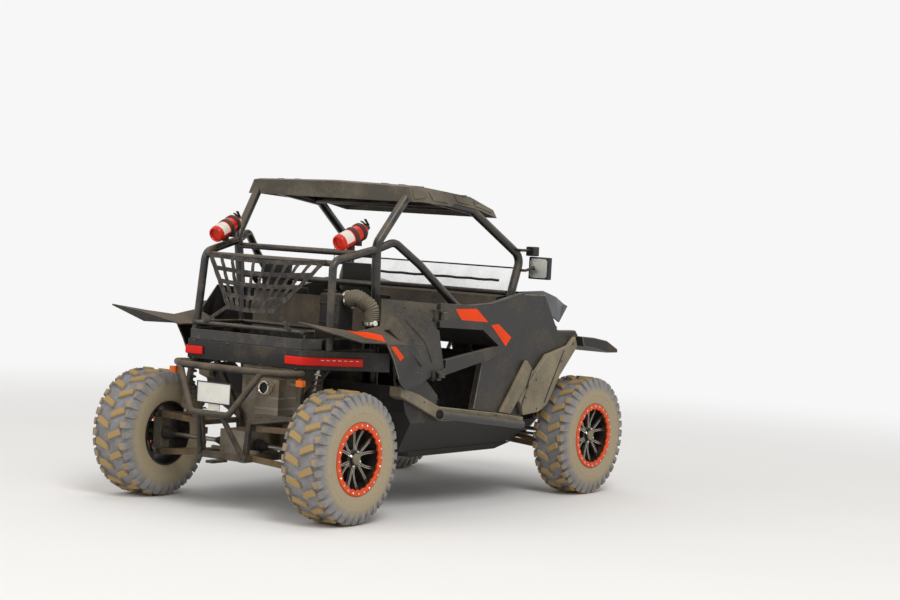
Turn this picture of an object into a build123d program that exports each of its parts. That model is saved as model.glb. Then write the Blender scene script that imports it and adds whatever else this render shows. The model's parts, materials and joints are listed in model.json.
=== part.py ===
from build123d import *
import math
import os

# Two-seat sport side-by-side buggy, open bodied, on long-travel suspension.
# Millimetres. X points forward, Y to the left and Z up. The origin is on the ground, on the centreline,
# midway between the axles. Paired pieces are drawn on the left and mirrored to the right.

# Stance
wheelbase = 2285
overhang = 379
overall_width = 1604
front_axle_x = wheelbase / 2
rear_axle_x = -wheelbase / 2
half_length = front_axle_x + overhang
half_width = overall_width / 2
drawn_axle_x = 1142.5
cabin_front_x = 550
cabin_rear_x = -700

# Fits
seat_gap = 0.3
running_gap = 0.06

# Wheels
tyre_radius = 350
rear_tyre_width = 272
front_tyre_width = 232
axle_z = tyre_radius
rim_radius = 178
ring_radius = 192
rim_wall = 9
ring_thickness = 12
ring_inset = 4
wheel_sides = 36
lug_height = 20
lug_length = 40
lug_sweep = 8
shoulder = 24
spoke_inset = 44
spoke_thickness = 16
spoke_count = 12
hub_radius = 58
hub_bore = 20
hub_sides = 18
hub_length = 90

# Tubes and beams
tube_sides = 16
bend_steps = 3
cage_tube = 25
stay_tube = 22
bar_tube = 17
frame_half = 19
deck_half = 16
brace_half = 14
bumper_tube = 19
hoop_tube = 17
leg_tube = 15
rack_tube = 11

# Roll cage, left side
pillar_foot_x = 330
pillar_foot_y = 430
pillar_knee = (406, 598, 760)
pillar_base_x = 446
pillar_kink_x = 516
pillar_y = 618
pillar_base_z = 1215
pillar_kink_z = 1405
rail_front = (100, 548, 1662)
rail_rear = (-480, 530, 1738)
hoop_x = -693
hoop_y = 491
hoop_z = 1457
post_foot_x = -575
post_foot_y = 440
stay_bend_x = -1008
stay_bend_y = 448
stay_bend_z = 1357
stay_foot_x = -1036
stay_foot_y = 472
stay_drop = 30
nose_join_z = 940
bar_join_z = 1000

# Frame
rail_drop = 58
rail_y = 260
arm_rail_y = 150
upper_rail_y = 170
arm_half_base = 140
frame_overhang = 30
deck_y = 468
deck_z = 870
deck_corner_x = -1020
leg_rise = 30
tow_bore = 10.5
tow_plate = 14
tow_reach = 81
tow_half = 24
tail_y = 384
skin = 6
skid_skin = 4
tub_front_x = 715

# Body side
door_outer_y = 726
door_inner_y = 692
side_outer_y = 688
side_inner_y = 650
sill_outer_y = 722
sill_inner_y = 640
panel_skin = 8
tail_flat_x = -1165
tail_flat_y = 400
blade_skin = 8

# Suspension
kingpin_inset = 202
rear_ball_inset = 212
ball_spread = 105
bridge_inset = 160
bridge_half = 16
arm_width = 22
arm_depth = 30
boss_radius = 20
boss_height = 30
stud_radius = 8
post_radius = 27
rod_drop = 17
rod_radius = 9
steer_arm = 110
steer_room = 19

# Seats
seat_y = 290
seat_half = 230
seat_skin = 14


def along(x):
    # places are drawn for axles at the drawn distance: what lies beyond the cabin follows its axle
    if x > cabin_front_x:
        return x + front_axle_x - drawn_axle_x
    if x < cabin_rear_x:
        return x + rear_axle_x + drawn_axle_x
    return x


tail_x = along(tail_flat_x)
stay_bend = (along(stay_bend_x), stay_bend_y, stay_bend_z)
rail_z = axle_z - rail_drop
upper_rail_z = axle_z + ball_spread
kingpin_y = half_width - kingpin_inset
rear_ball_y = half_width - rear_ball_inset
ball_lower_z = axle_z - ball_spread
ball_upper_z = axle_z + ball_spread
rod_z = axle_z - rod_drop
deck_rear_x = along(deck_corner_x)
bumper_x = half_length - bumper_tube
rail_top = rail_z + frame_half
deck_top = deck_z + deck_half
deck_floor = deck_top + seat_gap
floor_z = rail_top + seat_gap
skid_z = rail_z - frame_half - seat_gap - skid_skin
tail_beam_x = tail_x + blade_skin / 2 + seat_gap + deck_half
rear_end = rear_axle_x - arm_half_base - 10
rear_mid = rear_axle_x + arm_half_base + 18
front_end = front_axle_x + arm_half_base + 10
front_mid = front_axle_x - arm_half_base - 18

os.makedirs("parts", exist_ok=True)


def save(name, *shapes):
    pieces = []
    for shape in shapes:
        pieces.extend(shape.solids())
    body = Compound(pieces) if len(pieces) > 1 else pieces[0]
    export_step(body, "parts/" + name + ".step")


def twin(shape):
    return shape.mirror(Plane.XZ)


def pair(*shapes):
    return [side for shape in shapes for side in (shape, twin(shape))]


def right_of(points):
    return [(x, -y, z) for x, y, z in points]


def rod(start, end, radius):
    run = Vector(end) - Vector(start)
    end_up = (Align.CENTER, Align.CENTER, Align.MIN)
    return Plane(origin=start, z_dir=run) * Cylinder(radius, run.length, align=end_up)


def bent(points, bend):
    # the centre line of a bent tube, each bend in short chords
    line = [Vector(*points[0])]
    for before, corner, after in zip(points, points[1:], points[2:]):
        corner = Vector(*corner)
        run = (corner - Vector(*before)).normalized()
        leave = (Vector(*after) - corner).normalized()
        turn = math.acos(run.dot(leave))
        near = corner - run * bend * math.tan(turn / 2)
        inward = (leave - run * run.dot(leave)).normalized()
        for step in range(bend_steps + 1):
            part = turn * step / bend_steps
            line.append(near + inward * bend * (1 - math.cos(part)) + run * bend * math.sin(part))
    line.append(Vector(*points[-1]))
    return line


def tube(points, radius, bend=0):
    line = bent(points, bend)
    section = Plane(origin=line[0], z_dir=line[1] - line[0]) * RegularPolygon(radius, tube_sides)
    return sweep(section, path=Polyline(*line), transition=Transition.RIGHT)


def fused(shapes):
    total = shapes[0]
    for shape in shapes[1:]:
        total = total + shape
    return total


def largest(shape):
    return max(shape.solids(), key=lambda solid: solid.volume)


def polygon(points):
    return Face(Wire.make_polygon([Vector(*point) for point in points], close=True))


def side_plate(outline, low_y, high_y):
    face = polygon([(x, low_y, z) for x, z in outline])
    return extrude(face, amount=high_y - low_y, dir=(0, 1, 0))


def top_plate(outline, low_z, high_z):
    face = polygon([(x, y, low_z) for x, y in outline])
    return extrude(face, amount=high_z - low_z, dir=(0, 0, 1))


def cross_plate(outline, low_x, high_x):
    face = polygon([(low_x, y, z) for y, z in outline])
    return extrude(face, amount=high_x - low_x, dir=(1, 0, 0))


def box(low, high):
    size = [b - a for a, b in zip(low, high)]
    corner = (Align.MIN, Align.MIN, Align.MIN)
    return Pos(*low) * Box(*size, align=corner)


def skinned(sections):
    # a closed body of flat facets through sections of as many points each
    rings = [[Vector(*point) for point in points] for points in sections]
    faces = [polygon(sections[0]), polygon(sections[-1][::-1])]
    for near, far in zip(rings, rings[1:]):
        for index in range(len(near)):
            a, b = near[index], near[(index + 1) % len(near)]
            c, d = far[(index + 1) % len(near)], far[index]
            if abs((b - a).cross(c - a).dot(d - a)) < 1:
                faces.append(Face(Wire.make_polygon([a, b, c, d], close=True)))
            else:
                faces.append(Face(Wire.make_polygon([a, b, c], close=True)))
                faces.append(Face(Wire.make_polygon([a, c, d], close=True)))
    return Solid(Shell(faces))


def faceted(profile, sides):
    # a ring of flat sides about Z, from a profile of radius and height pairs
    rings = []
    for step in range(sides):
        turn = math.radians((step + 0.5) * 360 / sides)
        rings.append([Vector(r * math.cos(turn), r * math.sin(turn), h) for r, h in profile])
    faces = []
    for step in range(sides):
        near, far = rings[step], rings[(step + 1) % sides]
        for index in range(len(profile)):
            other = (index + 1) % len(profile)
            corners = [far[index], far[other], near[other], near[index]]
            faces.append(Face(Wire.make_polygon(corners, close=True)))
    return Solid(Shell(faces))


def beam(points, half):
    # a square tube with mitred corners
    start = Vector(*points[0])
    run = Vector(*points[1]) - start
    across = Vector(0, 0, 1) if abs(run.Z) < 0.9 * run.length else Vector(1, 0, 0)
    seat = Plane(origin=start, x_dir=across.cross(run), z_dir=run)
    return sweep(seat * Rectangle(2 * half, 2 * half), path=Polyline(*points), transition=Transition.RIGHT)


def offset_line(path, distance):
    # a plane path moved sideways to its left, with mitred corners
    moved = []
    for index, (a, b) in enumerate(path):
        normals = []
        for near, far in ((index - 1, index), (index, index + 1)):
            if near >= 0 and far < len(path):
                da = path[far][0] - path[near][0]
                db = path[far][1] - path[near][1]
                length = math.hypot(da, db)
                normals.append((-db / length, da / length))
        na = sum(normal[0] for normal in normals) / len(normals)
        nb = sum(normal[1] for normal in normals) / len(normals)
        stretch = distance / (na * na + nb * nb)
        moved.append((a + na * stretch, b + nb * stretch))
    return moved


def ribbon(path, low, high):
    return offset_line(path, low) + offset_line(path, high)[::-1]


def moulding(points, triangles, shift):
    # a moulded panel of flat facets, as thick as the shift
    outer = [Vector(*point) for point in points]
    inner = [point + Vector(*shift) for point in outer]
    faces = []
    edges = {}
    for a, b, c in triangles:
        faces.append(Face(Wire.make_polygon([outer[a], outer[b], outer[c]], close=True)))
        faces.append(Face(Wire.make_polygon([inner[c], inner[b], inner[a]], close=True)))
        for first, second in ((a, b), (b, c), (c, a)):
            edges[(first, second)] = True
    for first, second in edges:
        if (second, first) not in edges:
            rim = [outer[first], inner[first], inner[second]]
            faces.append(Face(Wire.make_polygon(rim, close=True)))
            rim = [outer[first], inner[second], outer[second]]
            faces.append(Face(Wire.make_polygon(rim, close=True)))
    return Solid(Shell(faces))


def between(low, high, share):
    return tuple(a + (b - a) * share for a, b in zip(low, high))


def at_height(low, high, z):
    # the point of a straight run at a height
    return between(low, high, (z - low[2]) / (high[2] - low[2]))


def stop_short(joint, toward, carrier_run, carrier_radius, radius):
    # where a flat-ended tube stops against the side of the one that carries it
    run = (Vector(*toward) - Vector(*joint)).normalized()
    lean = abs(run.dot(Vector(*carrier_run).normalized()))
    reach = (carrier_radius + seat_gap + radius * lean) / math.sqrt(1 - lean * lean)
    return tuple(Vector(*joint) + run * reach)


def direction(low, high):
    return tuple(b - a for a, b in zip(low, high))


def above(shape, z):
    return largest(shape - box((-wheelbase, -half_width, z - 100), (wheelbase, half_width, z)))


def below(shape, z):
    return largest(shape - box((-wheelbase, -half_width, z), (wheelbase, half_width, z + 200)))


# Cage, as corners of the main hoop's centre line
foot_sink = 20
pillar_foot = (pillar_foot_x, pillar_foot_y, floor_z - foot_sink)
pillar_base = (pillar_base_x, pillar_y, pillar_base_z)
pillar_kink = (pillar_kink_x, pillar_y, pillar_kink_z)
hoop_corner = (hoop_x, hoop_y, hoop_z)
post_foot = (post_foot_x, post_foot_y, floor_z - foot_sink)
hoop_points = [pillar_foot, pillar_knee, pillar_base, pillar_kink, rail_front, rail_rear, hoop_corner, post_foot]
post_line = direction(hoop_corner, post_foot)
stay_joint = at_height(hoop_corner, post_foot, hoop_z - stay_drop)
stay_foot = (along(stay_foot_x), stay_foot_y, deck_floor - foot_sink)
hoop_bend = 70
stay_round = 60


def cage_side():
    hoop = above(tube(hoop_points, cage_tube, hoop_bend), floor_z)
    start = stop_short(stay_joint, stay_bend, post_line, cage_tube, stay_tube)
    stay = above(tube([start, stay_bend, stay_foot], stay_tube, stay_round), deck_floor)
    crest = (-575, 520, 1470)
    dip = (-414, 580, 1350)
    rise = (-130, 646, 1120)
    start = stop_short(stay_joint, crest, post_line, cage_tube, stay_tube)
    front_joint = at_height(pillar_knee, pillar_base, bar_join_z)
    pillar_line = direction(pillar_knee, pillar_base)
    end = stop_short(front_joint, rise, pillar_line, cage_tube, stay_tube)
    side_bar = tube([start, crest, dip, rise, end], stay_tube, stay_round)
    return [hoop, stay, side_bar]


def bar_between(joint, line, carrier_radius, radius):
    # a bar across the cage between a point on a tube and its mirror image
    x, y, z = joint
    left = stop_short(joint, (x, 0, z), line, carrier_radius, radius)
    return tube([left, (left[0], -left[1], left[2])], radius)


rail_line = direction(rail_front, rail_rear)
harness_joint = at_height(hoop_corner, post_foot, 1236)
dash_joint = at_height(pillar_knee, pillar_base, 1120)
rear_bar_joint = (stay_bend[0] + 4, stay_bend[1] + 1, stay_bend[2] - 12)


def cage_cross_bars():
    # each of a point on the tube that carries it, and that tube's run
    joints = [
        (between(rail_front, rail_rear, 0.93), rail_line),
        (between(rail_front, rail_rear, 0.1), rail_line),
        (at_height(hoop_corner, post_foot, 1396), post_line),
        (harness_joint, post_line),
        (dash_joint, direction(pillar_knee, pillar_base)),
    ]
    bars = [bar_between(joint, line, cage_tube, bar_tube) for joint, line in joints]
    bars.append(bar_between(rear_bar_joint, (0, 0, 1), stay_tube, bar_tube))
    return bars


def cage_clearance(gap):
    # both hoops, wider by the gap, to cut from what they pass
    hoop = tube(hoop_points, cage_tube + 2 * gap, hoop_bend)
    return [hoop, twin(hoop)]


def notched(shape, clearances):
    for clearance in clearances:
        shape = shape - clearance
    return shape


def main_rail_path():
    return [
        (rear_end - frame_overhang, arm_rail_y),
        (rear_mid + 20, arm_rail_y),
        (-720, rail_y),
        (720, rail_y),
        (front_mid - 20, arm_rail_y),
        (front_end + frame_overhang, arm_rail_y),
    ]


def main_rails(gap):
    plan = ribbon(main_rail_path(), -frame_half - gap, frame_half + gap)
    rail = top_plate(plan, rail_z - frame_half - gap, rail_top + gap)
    return [rail, twin(rail)]


# Beams across the main rails, each of x and half span
frame_beams = [
    (post_foot_x, post_foot_y + cage_tube),
    (0, rail_y),
    (pillar_foot_x, pillar_foot_y + cage_tube),
    (585, rail_y),
    (rear_end - 12, arm_rail_y),
    (front_end + 12, arm_rail_y),
]


def lower_frame():
    total = fused(main_rails(0))
    for x, half in frame_beams:
        total = total + box((x - 15, -half, rail_z - 17), (x + 15, half, rail_top))
    return total


def tow_tongue(beam_x, side):
    # a plate under an end beam, with an upright eye for a hitch pin
    eye_x = beam_x + side * tow_reach
    near, far = sorted((beam_x - side * 15, eye_x + side * tow_half))
    top = rail_z - 17 - seat_gap
    plate = box((near, -tow_half, top - tow_plate), (far, tow_half, top))
    return plate - upright_rod(eye_x, 0, top - tow_plate - 1, top + 1, tow_bore)


def deck_path():
    post_x, post_y, _ = at_height(hoop_corner, post_foot, deck_top)
    return [(post_x - cage_tube - 2 * seat_gap, post_y + 2), (deck_rear_x, deck_y), (tail_beam_x, tail_y)]


def deck_frame():
    rail = top_plate(ribbon(deck_path(), -deck_half, deck_half), deck_z - deck_half, deck_top)
    total = rail + twin(rail)
    for x, half in ((along(-780), deck_y), (deck_rear_x, deck_y), (tail_beam_x, tail_y)):
        total = total + box((x - deck_half, -half, deck_z - 14), (x + deck_half, half, deck_top))
    return total


leg_bend_z = upper_rail_z + leg_rise
leg_foot = floor_z - 10
rear_leg = [
    (rear_end, arm_rail_y, leg_foot),
    (rear_end, upper_rail_y, leg_bend_z),
    (along(-1180), 395, leg_bend_z + 35),
    (along(-1125), tail_y, deck_z),
]
mid_leg = [
    (rear_mid, arm_rail_y, leg_foot),
    (rear_mid, upper_rail_y, leg_bend_z),
    (along(-930), deck_y, deck_z),
]
nose_knee = (along(960), 300, 900)
nose_tip = (along(1310), 250, 848)


def nose_rail_at(x):
    return between(nose_knee, nose_tip, (x - nose_knee[0]) / (nose_tip[0] - nose_knee[0]))


def cradles():
    # legs and upper arm rails that carry the arms, the deck and the nose rails
    solids = []
    for points in (rear_leg, mid_leg):
        leg = above(beam(points, brace_half), floor_z)
        solids.append(below(leg, deck_z - deck_half - seat_gap))
    joint = at_height(pillar_knee, pillar_base, nose_join_z)
    pillar_line = direction(pillar_knee, pillar_base)
    start = stop_short(joint, nose_knee, pillar_line, cage_tube, brace_half * math.sqrt(2))
    solids.append(beam([start, nose_knee, nose_tip], brace_half))
    for foot_x, top_x in ((front_mid, along(975)), (front_end, along(1285))):
        x, y, z = nose_rail_at(top_x)
        top = nose_rail_at(top_x + brace_half)[2] - brace_half - 3 * seat_gap
        points = [(foot_x, arm_rail_y, leg_foot), (foot_x, upper_rail_y, leg_bend_z), (x, y, z)]
        solids.append(below(above(beam(points, brace_half), floor_z), top))
    reach = brace_half + seat_gap
    for low_x, high_x in ((rear_end, rear_mid), (front_mid, front_end)):
        low = (low_x + reach, upper_rail_y - brace_half, upper_rail_z - brace_half)
        solids.append(box(low, (high_x - reach, upper_rail_y + brace_half, upper_rail_z + brace_half)))
    return solids


def skid_plate():
    high = rail_top + 19
    low = skid_z + skid_skin
    outer = [(-500, rail_top), (-450, skid_z), (450, skid_z), (500, rail_top)]
    inner = [(-494, high), (-447, low), (447, low), (494, high)]
    side = [(-330, rail_top), (-240, skid_z), (600, skid_z), (690, rail_top)]
    inside = [(-340, high), (-238, low), (598, low), (700, high)]
    pan = side_plate(side, -500, 500) & cross_plate(outer, -400, 800)
    hollow = side_plate(inside, -500, 500) & cross_plate(inner, -400, 800)
    pan = pan - hollow
    pan = pan - box((pillar_foot_x - 16, -460, skid_z + skid_skin), (pillar_foot_x + 16, 460, high))
    return notched(pan, main_rails(seat_gap))


def tub_side(drop, top):
    return [
        (-690 + drop, top),
        (-640 + drop, 560),
        (-420 + drop, floor_z + drop),
        (640 - drop, floor_z + drop),
        (tub_front_x - drop, 420),
        (tub_front_x - drop, top),
    ]


sill_outline = [
    (-715, 704),
    (-540, 655),
    (-358, 584),
    (258, 518),
    (440, 492),
    (482, 488),
    (482, 462),
    (-325, 502),
    (-711, 648),
]


def floor_tub():
    outer_cross = [(-700, 700), (-700, 500), (-497, floor_z), (497, floor_z), (700, 500), (700, 700)]
    inner_cross = [(y * 0.99, z + skin * (1 if z < 600 else 4)) for y, z in outer_cross]
    shell = side_plate(tub_side(0, 700), -700, 700) & cross_plate(outer_cross, -720, 740)
    shell = shell - (side_plate(tub_side(skin, 730), -700, 700) & cross_plate(inner_cross, -720, 740))
    under = [(x, z - seat_gap) for x, z in sill_outline[6:]]
    above_sill = [(1000, under[0][1])] + under + [(-900, under[-1][1]), (-900, 900), (1000, 900)]
    edge = sill_inner_y - seat_gap
    shell = shell - side_plate(above_sill, edge, 720) - side_plate(above_sill, -720, -edge)
    front_wall = box((tub_front_x - skin, -380, 420), (tub_front_x, 380, 820))
    rear_wall = box((-640, -400, 560), (-634, 400, 1150))
    shell = shell + front_wall + rear_wall
    return notched(shell, cage_clearance(seat_gap))


# Door outline, as x and z: two beams that meet at the nose and are open behind
door_outline = [
    (-398, 1150),
    (-100, 1138),
    (105, 1147),
    (414, 1205),
    (506, 1057),
    (285, 906),
    (258, 878),
    (89, 830),
    (-398, 742),
    (-398, 770),
    (-322, 792),
    (-322, 838),
    (190, 903),
    (20, 998),
    (-398, 1019),
]
hinge_x = -402
hinge_y = 742
pin_radius = 6
barrel_radius = 11
# hinge barrels on the door, each of low and high z
hinge_heights = [(1062, 1102), (744, 768)]
lug_gap = 3
lug_plate = 10


def upright_rod(x, y, low, high, radius):
    return rod((x, y, low), (x, y, high), radius)


def door():
    panel = side_plate(door_outline, door_inner_y, door_outer_y)
    for low, high in hinge_heights:
        barrel = upright_rod(hinge_x, hinge_y, low, high, barrel_radius)
        leaf = box((hinge_x, door_outer_y - 6, low), (hinge_x + 50, hinge_y + 4, high))
        panel = panel + (leaf + barrel)
        panel = panel - upright_rod(hinge_x, hinge_y, low - 1, high + 1, pin_radius + running_gap)
    return panel


# Quarter panel corners, each of x, y and z, turning round the middle one
quarter_corners = [
    (-406, 708, 1146),
    (-745, 585, 1168),
    (-815, 640, 1020),
    (-892, 744, 937),
    (-832, 746, 854),
    (-769, 746, 737),
    (-715, 744, 690),
    (-560, 736, 716),
    (-412, 722, 768),
    (-336, 722, 798),
    (-388, 716, 1002),
    (-408, 714, 1009),
]
quarter_middle = (-560, 738, 930)

# Scoop sections along the panel, each of x, y and z of its middle, half breadth and rise
scoop_sections = [
    (-772, 642, 1040, 62, 44),
    (-700, 704, 950, 46, 34),
    (-560, 741, 818, 14, 8),
]


def scoop():
    # a raised intake that narrows down the panel's fold
    rings = []
    for x, y, z, breadth, rise in scoop_sections:
        section = []
        for side, out in ((-1, -14), (-0.7, rise), (0.7, rise), (1, -14)):
            section.append((along(x) + side * breadth * 0.75, y + out, z + side * breadth * 0.66))
        rings.append(section)
    return skinned(rings)


def quarter_panel():
    points = [(along(x), y, z) for x, y, z in quarter_corners + [quarter_middle]]
    count = len(quarter_corners)
    triangles = [(index, (index + 1) % count, count) for index in range(count)]
    panel = moulding(points, triangles, (0, -panel_skin, 0)) + scoop()
    post_x, post_y, _ = at_height(hoop_corner, post_foot, 960)
    rib = box((post_x - 6, post_y + cage_tube + seat_gap, 900), (post_x + 6, quarter_middle[1] - 4, 960))
    panel = panel + rib
    for low, high in hinge_heights:
        low_lug = low - lug_gap - lug_plate
        high_lug = high + lug_gap
        block = box((-450, 700, low_lug), (-416, 732, high_lug + lug_plate))
        lugs = [box((-430, 730, z), (hinge_x + 8, hinge_y + 8, z + lug_plate)) for z in (low_lug, high_lug)]
        pin = upright_rod(hinge_x, hinge_y, low - lug_gap - 2, high + lug_gap + 2, pin_radius)
        panel = fused([panel, block] + lugs + [pin])
    return panel


def lower_quarter():
    # the dark inner skin between the panel and the sill
    low = [(x, z + 2 * seat_gap) for x, z in sill_outline[:3]]
    outline = low + [(-345, 640), (-452, 724), (-560, 712), (-690, 712)]
    return side_plate(outline, 690, 698)


def sill():
    return side_plate(sill_outline, sill_inner_y, sill_outer_y)


front_side_outline = [
    (20, 548),
    (84, 812),
    (262, 864),
    (296, 896),
    (520, 1048),
    (430, 1194),
    (700, 1188),
    (849, 980),
    (1047, 976),
    (1085, 938),
    (1068, 884),
    (1006, 872),
    (855, 705),
    (736, 545),
    (640, 505),
    (482, 488.3),
    (440, 492.4),
    (258, 518.4),
]


def front_side():
    return side_plate([(along(x), z) for x, z in front_side_outline], side_inner_y, side_outer_y)


footwell_strip = [(505, 815), (589, 742), (360, 506), (262, 522)]
footwell_main = [
    (711, 842),
    (940, 890),
    (1006, 943),
    (1033, 882),
    (855, 712),
    (736, 548),
    (644, 508),
    (486, 496),
    (440, 579),
    (600, 745),
]


def footwell_panels():
    inner = side_outer_y + seat_gap
    strip = side_plate([(along(x), z) for x, z in footwell_strip], inner, inner + 24)
    return [strip, side_plate([(along(x), z) for x, z in footwell_main], inner, inner + 30)]


step_radius = 25


def step_bar():
    y = sill_outer_y + step_radius + seat_gap
    return tube([(-385, y, 545), (426, y, 449)], step_radius)


def hood_section(x, half, edge_z, crown_z, drop, inset, sink):
    side = half - inset
    return [
        (x, -side, edge_z - drop - sink),
        (x, -side + 30, edge_z - inset),
        (x, -side + 170, crown_z - 20 - inset),
        (x, 0, crown_z - inset),
        (x, side - 170, crown_z - 20 - inset),
        (x, side - 30, edge_z - inset),
        (x, side, edge_z - drop - sink),
    ]


# Hood stations, each of x, half width, edge height, crown height and side drop
hood_stations = [
    (548, 649.7, 1206, 1206, 56),
    (along(800), 634, 1208, 1190, 120),
    (along(1000), 600, 1168, 1150, 150),
    (bumper_x - 322.5, 540, 1122, 1100, 12),
]


def hood():
    outer = skinned([hood_section(*station, 0, 0) for station in hood_stations])
    inner_stations = [list(station) for station in hood_stations]
    inner_stations[0][0] -= 5
    inner_stations[-1][0] -= skin
    inner = skinned([hood_section(*station, skin, 30) for station in inner_stations])
    return outer - inner


# Nose stations, each of z, setback behind the bumper and half width
nose_stations = [
    (560, 122, 250),
    (620, 102, 260),
    (800, 58, 310),
    (965, 104, 330),
    (1084, 296, 330),
]
nose_back_x = bumper_x - 312.5
lamp_x = nose_back_x + 50


def nose_section(z, setback, half, inset):
    back = nose_back_x - inset
    front = bumper_x - setback - inset
    side = half - inset
    return [(back, -side, z), (front, -side, z), (front, side, z), (back, side, z)]


def headlamp_zone(gap):
    return box((lamp_x - gap, 150 - gap, 905 - gap), (bumper_x - 122, 318 + gap, 1100))


def nose_outer():
    return skinned([nose_section(*station, 0) for station in nose_stations])


def front_fascia():
    inner_stations = [list(station) for station in nose_stations]
    inner_stations[0][0] -= 20
    inner_stations[-1][0] -= skin
    shell = nose_outer() - skinned([nose_section(*station, skin) for station in inner_stations])
    for row in range(5):
        low = 650 + row * 34
        shell = shell - box((bumper_x - 142, -180, low), (bumper_x - 22, 180, low + 18))
    zone = headlamp_zone(seat_gap)
    shell = shell - zone - twin(zone)
    rail = nose_rail_at(lamp_x)
    side = rail[1] + brace_half + 2 * seat_gap
    bracket = box((lamp_x, side, rail[2] - 12), (lamp_x + 22, 312, rail[2] + 8))
    return shell + bracket + twin(bracket)


def headlamp():
    return nose_outer() & headlamp_zone(0)


fender_outline = [
    (1037, 884),
    (1009, 946),
    (1147, 936),
    (1295, 914),
    (1419, 862),
    (1424, 840),
    (1303, 842),
    (1150, 870),
]


def front_fender():
    flare = side_plate([(along(x), z) for x, z in fender_outline], 480, 762)
    return flare - box((along(1000), 470, 800), (along(1086), side_outer_y + seat_gap, 1000))


def front_bumper():
    frame_end = front_end + frame_overhang + seat_gap
    foot_x = frame_end - 22
    knee_x = foot_x + (bumper_x - foot_x) * 0.64
    half = [(foot_x, 150, rail_z - 22), (knee_x, 190, 400), (bumper_x, 240, 600), (bumper_x - 18, 245, 800)]
    loop = tube(half + right_of(half[::-1]), bumper_tube, 40)
    loop = largest(loop - box((foot_x - 100, -300, 200), (frame_end, 300, 400)))
    inside = 240 - bumper_tube - 2 * seat_gap
    bar = tube([(bumper_x, -inside, 600), (bumper_x, inside, 600)], bumper_tube - 2)
    return [loop, bar]


wheel_centre = (90, seat_y, 960)
column_slope = 35
column_radius = 11
column_length = 640


def column_point(distance):
    turn = math.radians(column_slope)
    x, y, z = wheel_centre
    return (x + distance * math.cos(turn), y, z - distance * math.sin(turn))


def steering_wheel():
    rim_profile = [(156, -8), (163, -14), (177, -14), (184, -8), (184, 8), (177, 14), (163, 14), (156, 8)]
    spokes = Box(2 * 160, 24, 8)
    lower = Pos(0, -80, 0) * Box(24, 160, 8)
    axis = Vector(*column_point(1)) - Vector(*wheel_centre)
    seat = Plane(origin=wheel_centre, x_dir=(0, 1, 0), z_dir=axis)
    wheel = faceted(rim_profile, 24) + [spokes, lower, Cylinder(32, 30)]
    return seat * wheel + rod(wheel_centre, column_point(column_length), column_radius)


def dashboard():
    profile = [(384, 1090), (440, 1168), (544, 1176), (544, 1100), (504, 900), (440, 880), (400, 960)]
    dash = side_plate(profile, -520, 520)
    console = box((-400, -60, floor_z + skin + seat_gap), (500, 60, 560))
    riser = box((420, -60, 560), (500, 60, 900))
    bracket_x = 436
    near = (bracket_x - wheel_centre[0]) / math.cos(math.radians(column_slope))
    bracket_z = column_point(near)[2]
    bracket = box((bracket_x - 14, seat_y - 26, bracket_z - 30), (bracket_x + 14, seat_y + 26, 890))
    dash = fused([dash, console, riser, bracket])
    dash = dash - rod(wheel_centre, column_point(column_length), column_radius + running_gap)
    x, y, z = dash_joint
    return dash - tube([(x, -y, z), (x, y, z)], bar_tube + 2 * seat_gap)


def windscreen():
    pane = side_plate([(450, 1182), (454, 1182), (507, 1342), (503, 1342)], -640, 640)
    half = [(590, 1180), (590, 1240), (640, 1240), (640, 1344)]
    outline = half + [(-y, z) for y, z in half[::-1]]
    return largest(notched(pane & cross_plate(outline, 440, 520), cage_clearance(seat_gap)))


def roof_section(x, top_half, skirt_half, edge_z, crown_z, skirt_z, inset, sink):
    top = top_half - inset
    skirt = skirt_half - inset
    return [
        (x, -skirt, skirt_z - sink),
        (x, -top, edge_z - inset),
        (x, 0, crown_z - inset),
        (x, top, edge_z - inset),
        (x, skirt, skirt_z - sink),
    ]


# Roof stations, each of x, half width at top, half width at skirt, edge height, crown height and skirt height
roof_stations = [
    (-512, 548, 584, 1772, 1784, 1692),
    (-446, 558, 588, 1780, 1792, 1694),
    (-152, 552, 586, 1756, 1768, 1676),
    (-118, 550, 580, 1753, 1765, 1694),
    (80, 545, 576, 1736, 1748, 1672),
    (150, 538, 574, 1719, 1730, 1662),
    (354, 520, 550, 1668, 1676, 1622),
]
roof_wall = 5


def roof():
    outer = skinned([roof_section(*station, 0, 0) for station in roof_stations])
    inner_stations = [list(station) for station in roof_stations]
    inner_stations[0][0] += roof_wall
    inner_stations[-1][0] -= roof_wall
    inner = skinned([roof_section(*station, roof_wall, 30) for station in inner_stations])
    shell = outer - inner
    for share, top in ((0.16, 1744), (0.84, 1779)):
        x, y, z = between(rail_front, rail_rear, share)
        saddle = box((x - 20, y - 14, z), (x + 20, y + 14, top))
        shell = shell + saddle + twin(saddle)
    return notched(shell, cage_clearance(seat_gap))


def seat_shell():
    under = [(10, 520), (-60, 470), (-420, 430), (-480, 470), (-590, 1180)]
    over = [(-576, 1182), (-464, 490), (-412, 446), (-66, 484), (0, 532)]
    head = [(-588, 1170), (-606, 1340), (-592, 1344), (-574, 1170)]
    shell = side_plate(under + over, seat_y - seat_half, seat_y + seat_half)
    shell = shell + side_plate(head, seat_y - 95, seat_y + 95)
    legs = [(-80, floor_z + skin + seat_gap), (-80, 472), (-400, 436), (-400, floor_z + skin + seat_gap)]
    for y in (seat_y - 180, seat_y + 166):
        shell = shell + side_plate(legs, y, y + seat_skin)
    return shell


cushion_outline = [(-3, 530.4), (-20, 605), (-396, 560), (-404, 447.3), (-66, 484.5)]
back_outline = [(-404, 572), (-465.2, 500), (-570.4, 1150), (-480, 1140)]
head_outline = [(-576.7, 1200), (-590.7, 1335), (-530, 1325), (-512, 1200)]


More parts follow.
